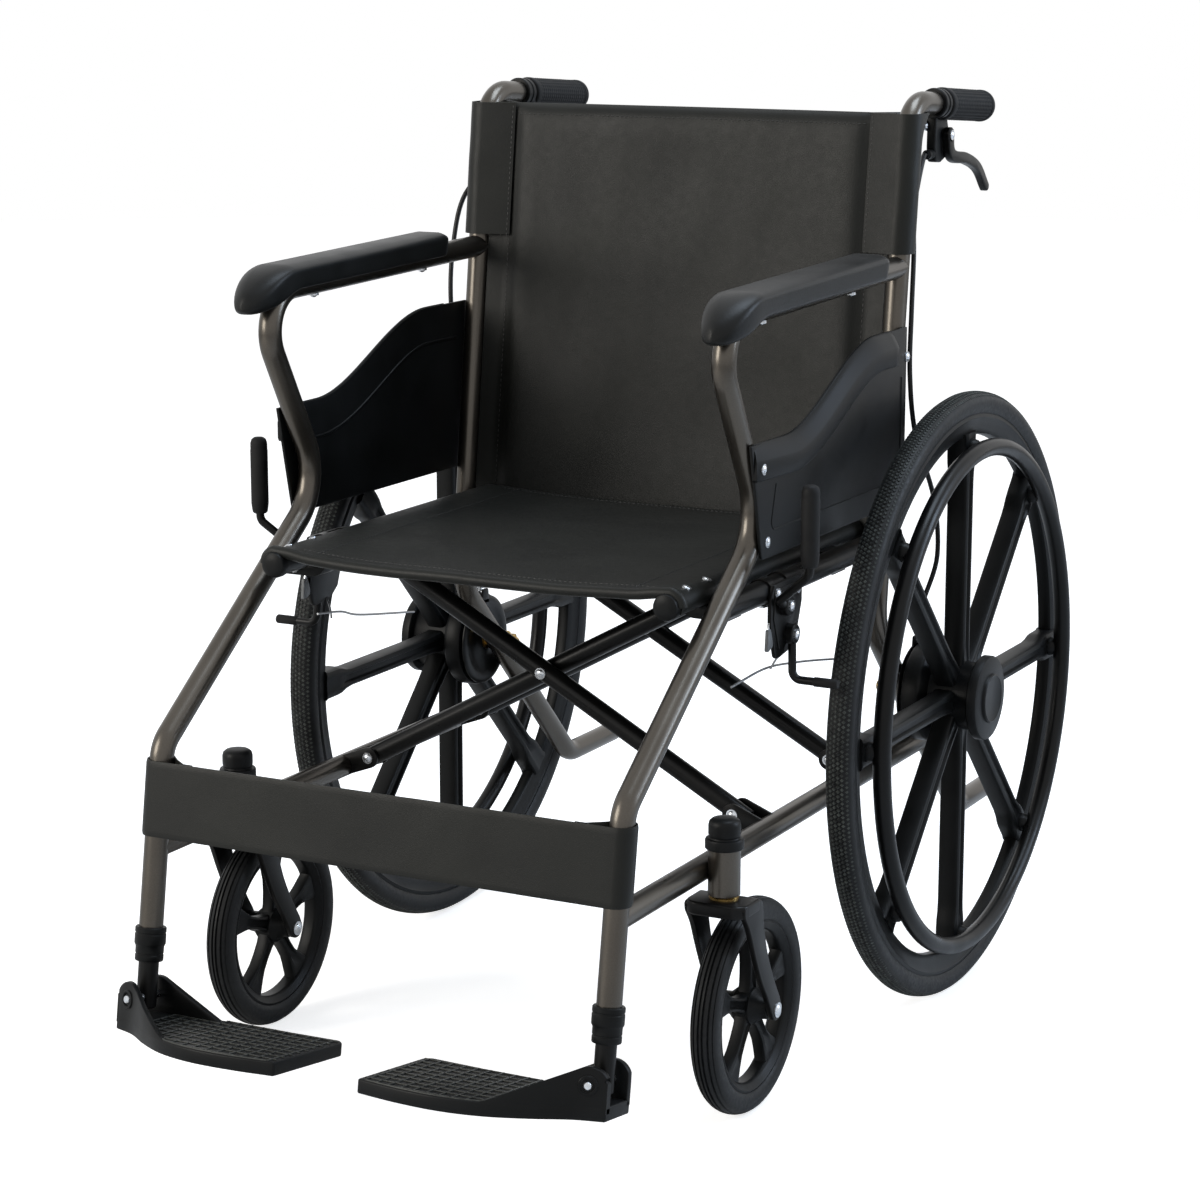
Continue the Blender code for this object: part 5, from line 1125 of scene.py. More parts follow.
def brake_cables():
    """Sheathed cables from the levers down the back posts to the drum brakes."""
    x = FRAME_X - GAP - 0.005
    stop_x = FRAME_X + 0.0194
    y, z = CABLE_START[0] - GAP, CABLE_START[1]
    close = [(FRAME_X - 0.001, 0.02, 0.815), (FRAME_X + 0.004, -0.004, 0.785), (FRAME_X + 0.0095, -0.015, 0.745),
             (FRAME_X + 0.0128, -0.026, 0.69), (FRAME_X + 0.0145, -0.031, 0.63), (FRAME_X + 0.018, -0.022, 0.57)]
    loose = [(FRAME_X + 0.007, 0.022, 0.818), (FRAME_X + 0.033, -0.002, 0.785), (FRAME_X + 0.039, -0.018, 0.735),
             (FRAME_X + 0.037, -0.028, 0.67), (FRAME_X + 0.034, -0.014, 0.585)]
    for side, sign, way in (("left", 1, close), ("right", -1, loose)):
        route = [(x, y - 0.006, z), *way, (0.26, 0.014, 0.5), (0.262, 0.022, 0.44), (stop_x, 0.006, 0.395),
                 (stop_x, 0, WHEEL_Z + 0.0683)]
        path = [Vector((x, y, z)), *smooth_path(route, 8), Vector((stop_x, 0, WHEEL_Z + 0.0623))]
        path = [Vector((sign * point.x, point.y, point.z)) for point in path]
        show(side + "_sheathed_cable", side + "_frame", [tube(path, 0.0025, cable_cover, 14)],
             [side + "_brake_cable"])


# Rear wheels

def channelled_spoke(inner, outer, sizes):
    """One cast spoke along +Z: an outline that swells at the hand rim, with a groove between two ridges."""
    swell = sizes.hand_rim
    levels = [(inner, 0.0128), (inner + 0.012, 0.011), (inner + 0.04, 0.0095), (swell - 0.034, 0.0095),
              (swell - 0.024, 0.0108), (swell - 0.015, 0.0138), (swell - 0.008, 0.0146), (outer - 0.004, 0.0148),
              (outer, 0.0165)]
    rings = []
    for z, half in levels:
        depth = 0.0034 if inner + 0.03 < z < swell - 0.02 else 0.0006
        t = 0.0112
        section = four_ways([(half * 0.3, t - depth), (half * 0.46, t - 0.0002), (half * 0.66, t),
                             (half * 0.9, t - 0.0014), (half, t - 0.004)])
        rings.append([(x, y, z) for y, x in section])
    return lofted(rings, sharp=30)


def rear_wheels():
    sizes = bpy.context.scene.chair_wheels
    rim_out = WHEEL_R - sizes.tyre_depth - GAP
    rim_in = sizes.rim_inner
    half = [(rim_out, 0.01), (rim_out - 0.0035, 0.0108), (rim_out - 0.005, 0.01), (rim_in + 0.0095, 0.0088),
            (rim_in + 0.004, 0.008), (rim_in + 0.001, 0.0066), (rim_in, 0.0045)]
    rim = turned(both_sides(half), "X", (WHEEL_X, 0, WHEEL_Z), 128, True)
    centre = (0, 0, WHEEL_Z)
    face = HUB_FACE_X
    hub = turned([(0, face + 0.0022), (0.0215, face + 0.0022), (0.0232, face + 0.003), (0.0244, face + 0.0022),
                  (0.025, face + 0.0002), (0.0268, face), (0.0395, face - 0.0004), (0.0415, face - 0.0012),
                  (0.0425, face - 0.003), (0.0425, face - 0.01), (0.0412, face - 0.0114), (0.0352, face - 0.0125),
                  (0.0345, face - 0.014), (0.034, 0.281), (0.035, 0.2765), (0.048, 0.2728),
                  (0.0495, 0.2712), (0.05, 0.269), (0.05, 0.256), (0.049, 0.2542), (0, 0.2542)],
                 "X", centre, 72)
    spokes = copies(channelled_spoke(0.024, rim_in + 0.004, sizes), moulded_plastic, sizes.spokes,
                    (WHEEL_X, 0, WHEEL_Z))
    show_pair("cast_wheel", "wheel", [(rim, moulded_plastic), (hub, moulded_plastic), spokes], ["rear_wheel"])
    posts = turned([(0, 0.0078), (0.0095, 0.0078), (0.01, 0.011), (0.0086, 0.0165), (0.0066, 0.019),
                    (0.006, 0.0265), (0, 0.0265)], "X", (0, 0, sizes.hand_rim), 20)
    ring = [Vector((HAND_RIM_X, sizes.hand_rim * math.cos(a), WHEEL_Z + sizes.hand_rim * math.sin(a)))
            for a in (2 * math.pi * i / 144 for i in range(144))]
    rim_tube = tube(ring, sizes.hand_tube, black_paint, 24, True)
    stands = copies(posts, moulded_plastic, sizes.spokes, (WHEEL_X, 0, WHEEL_Z))
    show_pair("push_ring", "wheel", [rim_tube, stands], ["hand_rim"])
    r, w, inner = WHEEL_R, sizes.tyre_half, WHEEL_R - sizes.tyre_depth
    half = [(inner, w * 0.76), (inner + 0.002, w * 0.86), (inner + 0.006, w * 0.97), (inner + 0.01, w),
            (r - 0.0085, w * 0.985), (r - 0.0058, w * 0.9), (r - 0.0035, w * 0.74), (r - 0.002, w * 0.52),
            (r - 0.0014, w * 0.26), (r - 0.0012, 0)]
    body = turned([(a, -x) for a, x in half] + [(a, x) for a, x in reversed(half[:-1])], "X",
                  (WHEEL_X, 0, WHEEL_Z), 160, True)
    bm = bmesh.new()
    for offset, tilt, shift in ((-0.0095, -0.62, 0.5), (-0.0058, -0.34, 0), (-0.002, -0.1, 0.5),
                                (0.002, 0.1, 0), (0.0058, 0.34, 0.5), (0.0095, 0.62, 0)):
        height = 0.002
        surface_r = r - 0.0012 - (abs(offset) / w) ** 2.6 * 0.0078
        turn = 2 * math.pi * shift * sizes.tread_pitch / (2 * math.pi * r)
        place = (Matrix.Rotation(turn, 4, "X") @ Matrix.Translation((offset, 0, surface_r))
                 @ Matrix.Rotation(tilt, 4, "Y"))
        made = bmesh.ops.create_cone(bm, cap_ends=True, segments=4, radius1=0.0023, radius2=0.0014, depth=height)
        bmesh.ops.transform(bm, matrix=place @ Matrix.Translation((0, 0, 0.0002)), verts=made["verts"])
    block_row = bpy.data.meshes.new("blocks")
    bm.to_mesh(block_row)
    bm.free()
    count = int(2 * math.pi * r / sizes.tread_pitch)
    tread = copies(block_row, tread_rubber, count, (WHEEL_X, 0, WHEEL_Z))
    show_pair("solid_tyre", "wheel", [(body, tyre_rubber), tread], ["rear_tyre"])


def axles():
    """Yellow zinc axle bolts with their nuts, and the back plates of the drum brakes."""
    inner, outer = FRAME_X - TUBE_FACE, FRAME_X + TUBE_FACE
    centre = (0, 0, WHEEL_Z)
    shaft = turned([(0, inner - 0.014), (0.0052, inner - 0.014), (0.006, inner - 0.013), (0.006, 0.3138),
                    (0, 0.3138)], "X", centre, 32)
    hexagon = [(0.01 * math.cos(a), WHEEL_Z + 0.01 * math.sin(a)) for a in (math.pi / 3 * i for i in range(6))]
    nut = prism(hexagon, "X", inner - 0.01, inner - 0.0016, 0.0008)
    washers = turned([(0, inner - 0.0016), (0.0115, inner - 0.0016), (0.0118, inner - 0.0012), (0.0118, inner),
                      (0, inner)], "X", centre, 40)
    spacer = turned([(0, outer), (0.01, outer), (0.01, FRAME_X + 0.0126), (0, FRAME_X + 0.0126)],
                    "X", centre, 32)
    show_pair("axle_with_nut", "frame", [(shaft, yellow_zinc), (nut, yellow_zinc), (washers, yellow_zinc),
                                         (spacer, yellow_zinc)], ["axle_bolt"])
    x = FRAME_X + 0.0129
    plate = turned([(0, x + 0.0002), (0.015, x + 0.0002), (0.0165, x + 0.001), (0.035, x + 0.001),
                    (0.0368, x), (0.044, x), (0.0465, x + 0.0006), (0.048, x + 0.0016), (0.048, x + 0.0026),
                    (0, x + 0.0026)], "X", centre, 64)
    low = WHEEL_Z + 0.044
    tab = prism(rounded_outline([(-0.0075, low - 0.004), (0.0075, low - 0.004), (0.0055, low + 0.012),
                                 (-0.0055, low + 0.012)], [0.001, 0.001, 0.003, 0.003]), "X", x, x + 0.0026, 0.0005)
    stop = turned([(0, low + 0.0095), (0.0055, low + 0.0095), (0.0055, low + 0.012), (0.0048, low + 0.0126),
                   (0.0048, low + 0.015), (0.0055, low + 0.0156), (0.005, low + 0.018), (0, low + 0.018)], "Z",
                  (x + 0.0065, 0, 0), 28)
    arm = prism(link_outline((-0.02, WHEEL_Z + 0.022), (-0.039, WHEEL_Z + 0.03), 0.007, 0.0045), "X",
                x - 0.0014, x + 0.0006, 0.0005)
    cam = screws([((x - 0.0014, -0.02, WHEEL_Z + 0.022), (-1, 0, 0))], zinc, 0.004, 0.0022, 1.3)
    show_pair("brake_back_plate", "frame", [(plate, black_paint), (tab, black_paint), (stop, zinc),
                                            (arm, black_paint), cam], ["drum_brake_plate"])


# Parking brakes

def parking_brakes():
    """Plate, lever and shoe of each parking brake."""
    low = FRAME_X + TUBE_FACE
    high = low + 0.004
    y0, y1, top = -0.357, -0.288, SEAT_TUBE_Z + 0.009
    outline = rounded_outline([(y0, SEAT_TUBE_Z - 0.004), (y0 + 0.008, top), (y1, top), (y1, SEAT_TUBE_Z - 0.016),
                               (-0.3, 0.42), (-0.312, 0.411), (-0.345, 0.406), (y0, 0.44)],
                              [0.003, 0.004, 0.004, 0.008, 0.005, 0.004, 0.007, 0.008])
    plate = prism(outline, "X", low, high, 0.0008)
    cover = prism(rounded_outline([(-0.353, 0.446), (-0.349, 0.472), (-0.294, 0.472), (-0.295, 0.456),
                                   (-0.307, 0.422), (-0.34, 0.414)], 0.004), "X", high - 0.0005, high + 0.0012,
                  0.0006)
    clamps = []
    for y in (-0.343, -0.306):
        ring = turned([(0.0113, -0.005), (0.0128, -0.005), (0.0128, 0.005), (0.0113, 0.005)], "Y",
                      (FRAME_X, y, SEAT_TUBE_Z), 36, True)
        clamps.append((ring, black_paint))
    tab = prism(rounded_outline([(-0.363, 0.416), (-0.351, 0.42), (-0.349, 0.438), (-0.361, 0.437)], 0.002), "X",
                low, low + 0.0035, 0.0007)
    link = prism(rounded_outline([(-0.36, 0.434), (-0.346, 0.434), (-0.344, 0.446), (-0.356, 0.446)], 0.002), "X",
                 low + 0.0004, low + 0.0024, 0.0005)
    lever_at, shoe_at = (-0.334, 0.456), (-0.322, 0.427)
    reach = high + 0.0012 + 0.009
    pins = [(pin(y, z, high - 0.001, reach + 0.001, 0.003), zinc) for y, z in (lever_at, shoe_at)]
    heads = screws([((reach, *lever_at), (1, 0, 0)), ((reach, *shoe_at), (1, 0, 0)),
                    ((high + 0.0012, -0.3445, 0.468), (1, 0, 0)), ((high + 0.0012, -0.3, 0.466), (1, 0, 0)),
                    ((FRAME_X, -0.343, SEAT_TUBE_Z - 0.0128), (0, 0, -1)),
                    ((FRAME_X, -0.306, SEAT_TUBE_Z - 0.0128), (0, 0, -1))], zinc, 0.0042, 0.0024, 1.25)
    show_pair("parking_plate", "frame", [(plate, black_paint), (cover, black_paint), *clamps, (tab, grey_plastic),
                                         (link, zinc), *pins, heads], ["parking_brake_bracket"])
    near = high + 0.0006
    mid = near + 0.0045
    boss = pin(*lever_at, near, near + 0.009, 0.0095, 36, 0.001)
    path = rounded_path([(mid, lever_at[0] - 0.0076, lever_at[1] + 0.0019), (mid + 0.002, -0.355, 0.464),
                         (0.292, -0.367, 0.493), (0.292, -0.367, 0.515)], [0.006, 0.01])
    rod = tube(path, 0.004, black_paint, 20)
    h = 0.075
    grip = turned([(0, 0), (0.006, 0), (0.0072, 0.0012), (0.0078, 0.004), (0.0085, 0.01), (0.0085, h - 0.013),
                   (0.0082, h - 0.0115), (0.0083, h - 0.01), (0.0082, h - 0.006), (0.007, h - 0.0022),
                   (0.0045, h - 0.0004), (0, h)], "Z", (0.292, -0.367, 0.5), 36)
    show_pair("parking_handle", "parking_lever", [(boss, black_paint), rod, (grip, grip_rubber)],
              ["parking_brake_lever"])
    boss = pin(*shoe_at, near, near + 0.009, 0.0095, 36, 0.001)
    path = rounded_path([(mid, shoe_at[0] + 0.001, shoe_at[1] - 0.0076), (mid + 0.002, -0.324, 0.385),
                         (0.3005, -0.324, 0.385)], [0.009])
    rod = tube(path, 0.0038, black_paint, 20)
    sleeve = turned([(0, 0.279), (0.0038, 0.279), (0.0045, 0.28), (0.0045, 0.3018), (0.0036, 0.303),
                     (0, 0.303)], "X", (0, -0.324, 0.385), 24)
    show_pair("parking_shoe_bar", "parking_shoe", [(boss, black_paint), rod, (sleeve, grip_rubber)],
              ["parking_brake_shoe"])


# Footrests

def footrests():
    """Collars on the foot tubes, sliding stems, and footplates with a net of raised ridges."""
    sizes = bpy.context.scene.chair_feet
    place = foot_matrix()
    end = HINGE_BELOW_TUBE
    collar = turned([(0.0096, end - 0.014), (0.0124, end - 0.014), (0.013, end - 0.0132), (0.013, end - 0.0085),
                     (0.0125, end - 0.008), (0.0125, end - 0.007), (0.013, end - 0.0065), (0.013, end - 0.0005),
                     (0.0137, end + 0.0008), (0.0143, end + 0.002), (0.0143, end + 0.0105), (0.0138, end + 0.0111),
                     (0.0138, end + 0.0122), (0.0143, end + 0.0128), (0.0143, end + 0.0165), (0.0135, end + 0.0175),
                     (0.0114, end + 0.0175), (0.0114, end - 0.0003), (0.0096, end - 0.0003)], "Z", (0, 0, 0), 48,
                    True)
    show_pair("stem_clamp", "frame", [(moved(collar, place), moulded_plastic)], ["stem_collar"])
    stem = turned([(0, -0.0105), (0.008, -0.0105), (0.0093, -0.0092), (0.0093, 0.1), (0, 0.1)], "Z",
                  (0, 0, 0), 40)
    reach = 0.0233
    bolt = turned([(0, -reach - 0.001), (0.004, -reach - 0.001), (0.004, reach + 0.001), (0, reach + 0.001)], "Y",
                  (0, 0, 0), 20)
    heads, _ = screws([((0, s * reach, 0), (0, s, 0)) for s in (-1, 1)], zinc, 0.0042, 0.003, 1.15)
    show_pair("sliding_stem", "foot_stem", [(moved(stem, place), black_paint), (moved(bolt, place), zinc),
                                            (moved(heads, place), zinc)], ["foot_stem"])
    inner, outer = 0.042 - FRAME_X, 0.2505 - FRAME_X
    run = outer - inner
    ear_out = 0.023
    shares = ((0.0, 0.895), (0.2, 0.975), (0.4, 0.983), (0.58, 0.87), (0.74, 0.64), (0.88, 0.38),
              (1.0, ear_out / 0.091))
    front = smooth_path([(inner + run * a, -max(sizes.plate_front * d, ear_out), 0) for a, d in shares], 5)
    front = [(point.x, min(point.y, -ear_out)) for point in front]
    rear = [(outer, ear_out), (inner + run * 0.8, ear_out + 0.004), (inner + 0.006, 0.036), (inner, 0.03)]
    outline = rounded_outline(front + rear, [0.003] + [0] * (len(front) - 1) + [0.003, 0.03, 0.006, 0.006])
    thick = sizes.plate_thickness
    plate = prism(outline, "Z", -0.016 - thick, -0.016 - 0.0008, 0.0016, 3)
    base = -0.016 - thick / 2
    foot_x = 0.165 - FRAME_X
    eye = arc((0, 0), 0.0165, 22, 120, 12)
    ear = prism([(outer, base), (outer, -0.002), *eye, (foot_x, -0.016), (foot_x, base)], "Y", 0.016,
                ear_out, 0.0012)
    heights = [(foot_x - 0.006, -0.017), (foot_x, -0.015), (eye[-1][0], eye[-1][1]), *reversed(eye[1:-1]),
               (outer - 0.003, 0.006), (outer, 0.0035)]
    front_line = [Vector(point) for point in front]

    def front_limit(x):
        for a, b in zip(front_line, front_line[1:]):
            if a.x <= x <= b.x:
                return a.y + (b.y - a.y) * (x - a.x) / max(1e-9, b.x - a.x)
        return -ear_out

    stations = [(foot_x + (eye[-1][0] - foot_x) * i / 10, -0.015 + (eye[-1][1] + 0.015) * i / 10)
                for i in range(10)]
    rings = []
    for x, high in [heights[0], *stations, *heights[2:]]:
        y = front_limit(min(x, outer - 0.0005)) + 0.0002
        rings.append([(x, y, base), (x, y, high - 0.0012), (x, y + 0.0004, high - 0.0004), (x, y + 0.0012, high),
                      (x, y + 0.0058, high), (x, y + 0.0066, high - 0.0004), (x, y + 0.007, high - 0.0012),
                      (x, y + 0.007, base)])
    ears = [(ear, moulded_plastic), (lofted(rings, sharp=35), moulded_plastic)]
    pitch, half = sizes.pad_pitch, sizes.pad / 2
    ridges = []

    def ridge(x0, y0, x1, y1):
        if x1 - x0 > 0.006 or y1 - y0 > 0.006:
            # each ridge takes the lighter grey nylon: a painted highlight along the net
            ridges.append((prism([(x0, y0), (x1, y0), (x1, y1), (x0, y1)], "Z", -0.0172, -0.0158, 0.0003),
                           ridge_highlight_plastic))

    right = outer - 0.004
    for i in range(40):
        x = inner + 0.0075 + pitch * i
        if x > right:
            break
        wall = 0.0075 if x > foot_x else 0
        rear_end = 0.0285 if x < foot_x else 0.0145 if x < -0.02 else -0.0175
        ridge(x - half, front_limit(x) + 0.0022 + wall, x + half, rear_end)
    for k in range(12):
        y = 0.027 - pitch * k
        near = [x for x in (inner + 0.002 * i for i in range(110)) if x < right and front_limit(x) + 0.0025 < y
                and (x < foot_x or front_limit(x) + 0.01 < y < 0.015) and (x < -0.02 or y < -0.018)]
        if near:
            ridge(min(near) + 0.003, y - half, max(near), y + half)
    wall_y = front_limit(0)
    slant = Vector((front_limit(0.003) - front_limit(-0.003), -0.006, 0)).normalized()
    spot = Vector((0, wall_y + 0.0002, 0.0008))
    collar = along(turned([(0.0062, 0), (0.0086, 0), (0.0086, 0.001), (0.008, 0.0016), (0.0068, 0.0016),
                           (0.0062, 0.001)], "Z", (0, 0, 0), 32, True), spot, slant)
    head = along(turned([(0, -0.001), (0.004, -0.001), (0.004, 0.0012), (0.003, 0.0026), (0, 0.003)], "Z",
                        (0, 0, 0), 24), spot, slant)
    # a thin lip along the front edge in the lighter grey nylon: a painted highlight along that edge
    lip_line = [Vector((point[0], point[1] + 0.0022, -0.0167)) for point in front[1:-5]]
    lip, _ = tube(lip_line, 0.0009, moulded_plastic, 8)
    parts = [(plate, moulded_plastic), *ears, *ridges, (lip, ridge_highlight_plastic), (collar, moulded_plastic),
             (head, zinc)]
    show_pair("tread_plate", "footplate", [(moved(mesh, place), maker) for mesh, maker in parts], ["footplate"])


# Casters

def casters():
    """Forks with a rounded crown, moulded wheels and ribbed tyres."""
    sizes = bpy.context.scene.chair_casters
    x, stem_y, wheel_y, z = CASTER_X, CASTER_STEM_Y, CASTER_Y, CASTER_Z
    crown_top = HOUSING_LOW - 0.0025
    crown_low = crown_top - 0.0125
    arm_in, arm_t = 0.0241, sizes.fork_thickness
    arm_out = 0.0301
    front, back = stem_y - 0.025, stem_y + 0.013
    crown_outline = rounded_outline([(x - arm_out, back), (x - arm_out, front), (x + arm_out, front),
                                     (x + arm_out, back)], [0.003, 0.014, 0.014, 0.003], math.radians(8))
    crown = prism(crown_outline, "Z", crown_low, crown_top, 0.0028, 4)
    drop = crown_top - z
    upper = [(stem_y - 0.02, crown_top - 0.004), (stem_y - 0.015, crown_top - 0.0015),
             (stem_y + 0.01, crown_top - 0.0015), (stem_y + 0.0185, crown_top - 0.007),
             (stem_y + 0.0215, z + 0.76 * drop), (stem_y + 0.03, z + 0.52 * drop),
             (stem_y + 0.044, z + 0.28 * drop), (wheel_y + 0.009, z + 0.006)]
    lower = [(wheel_y - 0.0088, z - 0.004), (stem_y + 0.03, z + 0.16 * drop), (stem_y + 0.016, z + 0.34 * drop),
             (stem_y + 0.002, z + 0.58 * drop), (stem_y - 0.0085, z + 0.78 * drop),
             (stem_y - 0.019, crown_low + 0.002)]
    smooth_up = [(p.x, p.y) for p in smooth_path([(a, b, 0) for a, b in upper], 5)]
    smooth_low = [(p.x, p.y) for p in smooth_path([(a, b, 0) for a, b in lower], 5)]
    eye = arc((wheel_y, z), 0.0097, 32, -152, 14)
    arm_line = smooth_up[:-1] + eye + smooth_low[1:]
    arms = []
    for a in (x + arm_in + 0.0003, x - arm_in - 0.0003 - arm_t):
        arms.append((prism(arm_line, "X", a, a + arm_t, 0.0016, 3), black_paint))
    sockets = turned([(0, crown_low + 0.002), (0.0135, crown_low + 0.002), (0.0135, crown_top + 0.0016),
                      (0.0128, crown_top + 0.0022), (0, crown_top + 0.0022)], "Z", (x, stem_y, 0), 40)
    heads = screws([((x + s * (arm_in + 0.0003 + arm_t), wheel_y, z), (s, 0, 0)) for s in (-1, 1)], zinc, 0.0056,
                   0.0032, 1.25)
    bolt = pin(wheel_y, z, x - arm_out - 0.001, x + arm_out + 0.001, 0.004)
    show_pair("steering_fork", "fork", [(crown, black_paint), *arms, (sockets, yellow_zinc), (bolt, zinc), heads],
              ["caster_fork"])
    centre = (x, wheel_y, z)
    r = z
    rim_out = r - sizes.tyre_depth - GAP
    rim_in = rim_out - 0.009
    half = sizes.tyre_half * 0.8
    side = [(rim_out, half), (rim_out - 0.002, half + 0.0006), (rim_out - 0.0034, half - 0.0004),
            (rim_in + 0.0022, half * 0.78), (rim_in + 0.0004, half * 0.62), (rim_in, half * 0.4)]
    rim = turned(both_sides(side), "X", centre, 96, True)
    w = 0.0235
    hub = turned([(0, -w), (0.0088, -w), (0.01, -w + 0.001), (0.0105, -w + 0.008), (0.017, -half * 0.75),
                  (0.017, half * 0.75), (0.0105, w - 0.008), (0.01, w - 0.001), (0.0088, w), (0, w)], "X", centre,
                 48)
    spoke_half = [(0.0095, 0.012), (0.0068, 0.022), (0.006, 0.034), (0.0066, 0.046), (0.0092, 0.055),
                  (0.015, rim_in + 0.0005), (0.019, rim_in + 0.003)]
    rings = []
    for width, height in spoke_half:
        t = half * 0.62
        depth = 0.0028 if 0.02 < height < 0.05 else 0.0003
        section = four_ways([(width * 0.42, t - depth), (width * 0.62, t), (width * 0.92, t - 0.0008),
                             (width, t - 0.0024)])
        rings.append([(b, a, height) for a, b in section])
    spokes = copies(lofted(rings, sharp=30), moulded_plastic, sizes.spokes, centre)
    show_pair("moulded_caster", "caster", [(rim, moulded_plastic), (hub, moulded_plastic), spokes],
              ["caster_wheel"])
    w, inner = sizes.tyre_half, r - sizes.tyre_depth
    side = [(inner, w * 0.8), (inner + 0.0016, w * 0.92), (inner + 0.005, w), (r - 0.009, w),
            (r - 0.0055, w * 0.93), (r - 0.004, w * 0.84), (r - 0.0048, w * 0.8), (r - 0.003, w * 0.74),
            (r - 0.0018, w * 0.6), (r - 0.003, w * 0.555), (r - 0.003, w * 0.5), (r - 0.001, w * 0.455),
            (r - 0.0002, w * 0.24), (r - 0.002, w * 0.19), (r - 0.002, w * 0.11), (r, w * 0.06)]
    tyre = turned(both_sides(side), "X", centre, 96, True)
    show_pair("caster_tread", "caster", [(tyre, tyre_rubber)], ["caster_tyre"])


# Scissor brace

def brace():
    """Crossing bars with their bolts, and the seat rails that they carry."""
    sizes = bpy.context.scene.chair_frame
    for place, y in (("front", BRACE_Y[0]), ("rear", BRACE_Y[1])):
        for name, lean, level in (("a", -1, y - BRACE_SHIFT), ("b", 1, y + BRACE_SHIFT)):
            low = Vector((-lean * SEAT_RAIL_X, level, BRACE_LOW_Z))
            high = Vector((lean * SEAT_RAIL_X, level, SEAT_RAIL_Z))
            way = (high - low).normalized()
            path, radii = domed_ends([low - way * 0.012, high], sizes.bar, 0.003)
            radii[-5:] = [sizes.bar] * 5
            bar = tube(path, radii, black_paint, 32)
            parts = [bar]
            centre = (low + high) / 2
            if name == "a":
                parts.append(screws([(centre - Vector((0, sizes.bar, 0)), (0, -1, 0)),
                                     (centre + Vector((0, 2 * BRACE_SHIFT + sizes.bar, 0)), (0, 1, 0))], zinc,
                                    sizes.bolt * 0.66, 0.0034, 1.22))
            show("brace_%s_%s_tube" % (name, place), "brace_" + name, parts, ["brace_%s_%s_bar" % (name, place)])
    for side, sign in SIDES:
        low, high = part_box(side + "_seat_rail")
        ends = [Vector((sign * SEAT_RAIL_X, low.y - AXLE_Y, SEAT_RAIL_Z)),
                Vector((sign * SEAT_RAIL_X, high.y - AXLE_Y, SEAT_RAIL_Z))]
        rail = tube(ends, sizes.tube, black_paint, 32)
        caps = []
        for end, way in zip(ends, (-1, 1)):
            profile = [(0, 0), (0.0122, 0), (0.0124, 0.0012), (0.0124, 0.008), (0.0116, 0.0105), (0.0085, 0.0122),
                       (0.004, 0.0128), (0, 0.0128)]
            shape = turned(profile, "Z", (0, 0, 0), 36)
            start = end - Vector((0, way * 0.009, 0))
            caps.append((along(shape, start, (0, way, 0)), moulded_plastic))
        body = "brace_b" if side == "left" else "brace_a"
        show(side + "_seat_bar", body, [rail, *caps], [side + "_seat_rail"])


# Cloth

def band_outline(points, thick):
    """A closed outline round an open line, this thick."""
    first, second = [], []
    for i, point in enumerate(points):
        way = way_at(points, i)
        side = Vector((-way.y, way.x)) * thick / 2
        first.append(Vector(point) + side)
        second.append(Vector(point) - side)
    return first + second[::-1]


def ripple(x, y, z, size, height):
    """A soft unevenness of the cloth, with bumps about this wide and high."""
    return height * noise.noise(Vector((x, y, z)) / size)


def soft(piece, carrier):
    """Gives the piece a copy of its mesh that it alone uses."""
    if carrier == "seat":
        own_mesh(piece)
    else:
        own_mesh(piece)


SEAT_FRONT, SEAT_REAR = -0.477, -0.066


def seat_line(y):
    """The seat cloth's middle line at one depth: over the left rail, across with a sag, over the right."""
    sizes = bpy.context.scene.chair_cloth
    radius = 0.0116 + sizes.cloth / 2
    wrap = arc((SEAT_RAIL_X, SEAT_RAIL_Z), radius, -30, 80, 14)
    half = SEAT_RAIL_X - 0.014
    middle = []
    for i in range(49):
        x = half - 2 * half * i / 48
        share = abs(x / half)
        sag = sizes.seat_sag * (1 - share ** 2.2)
        uneven = ripple(x, y, 0.3, 0.085, 0.0016) + ripple(x * 0.4, y, 1.3, 0.028, 0.0005)
        middle.append((x, SEAT_RAIL_Z + radius - 0.0004 - sag + uneven * (1 - share ** 4)))
    return wrap + middle + [(-x, z) for x, z in reversed(wrap)]


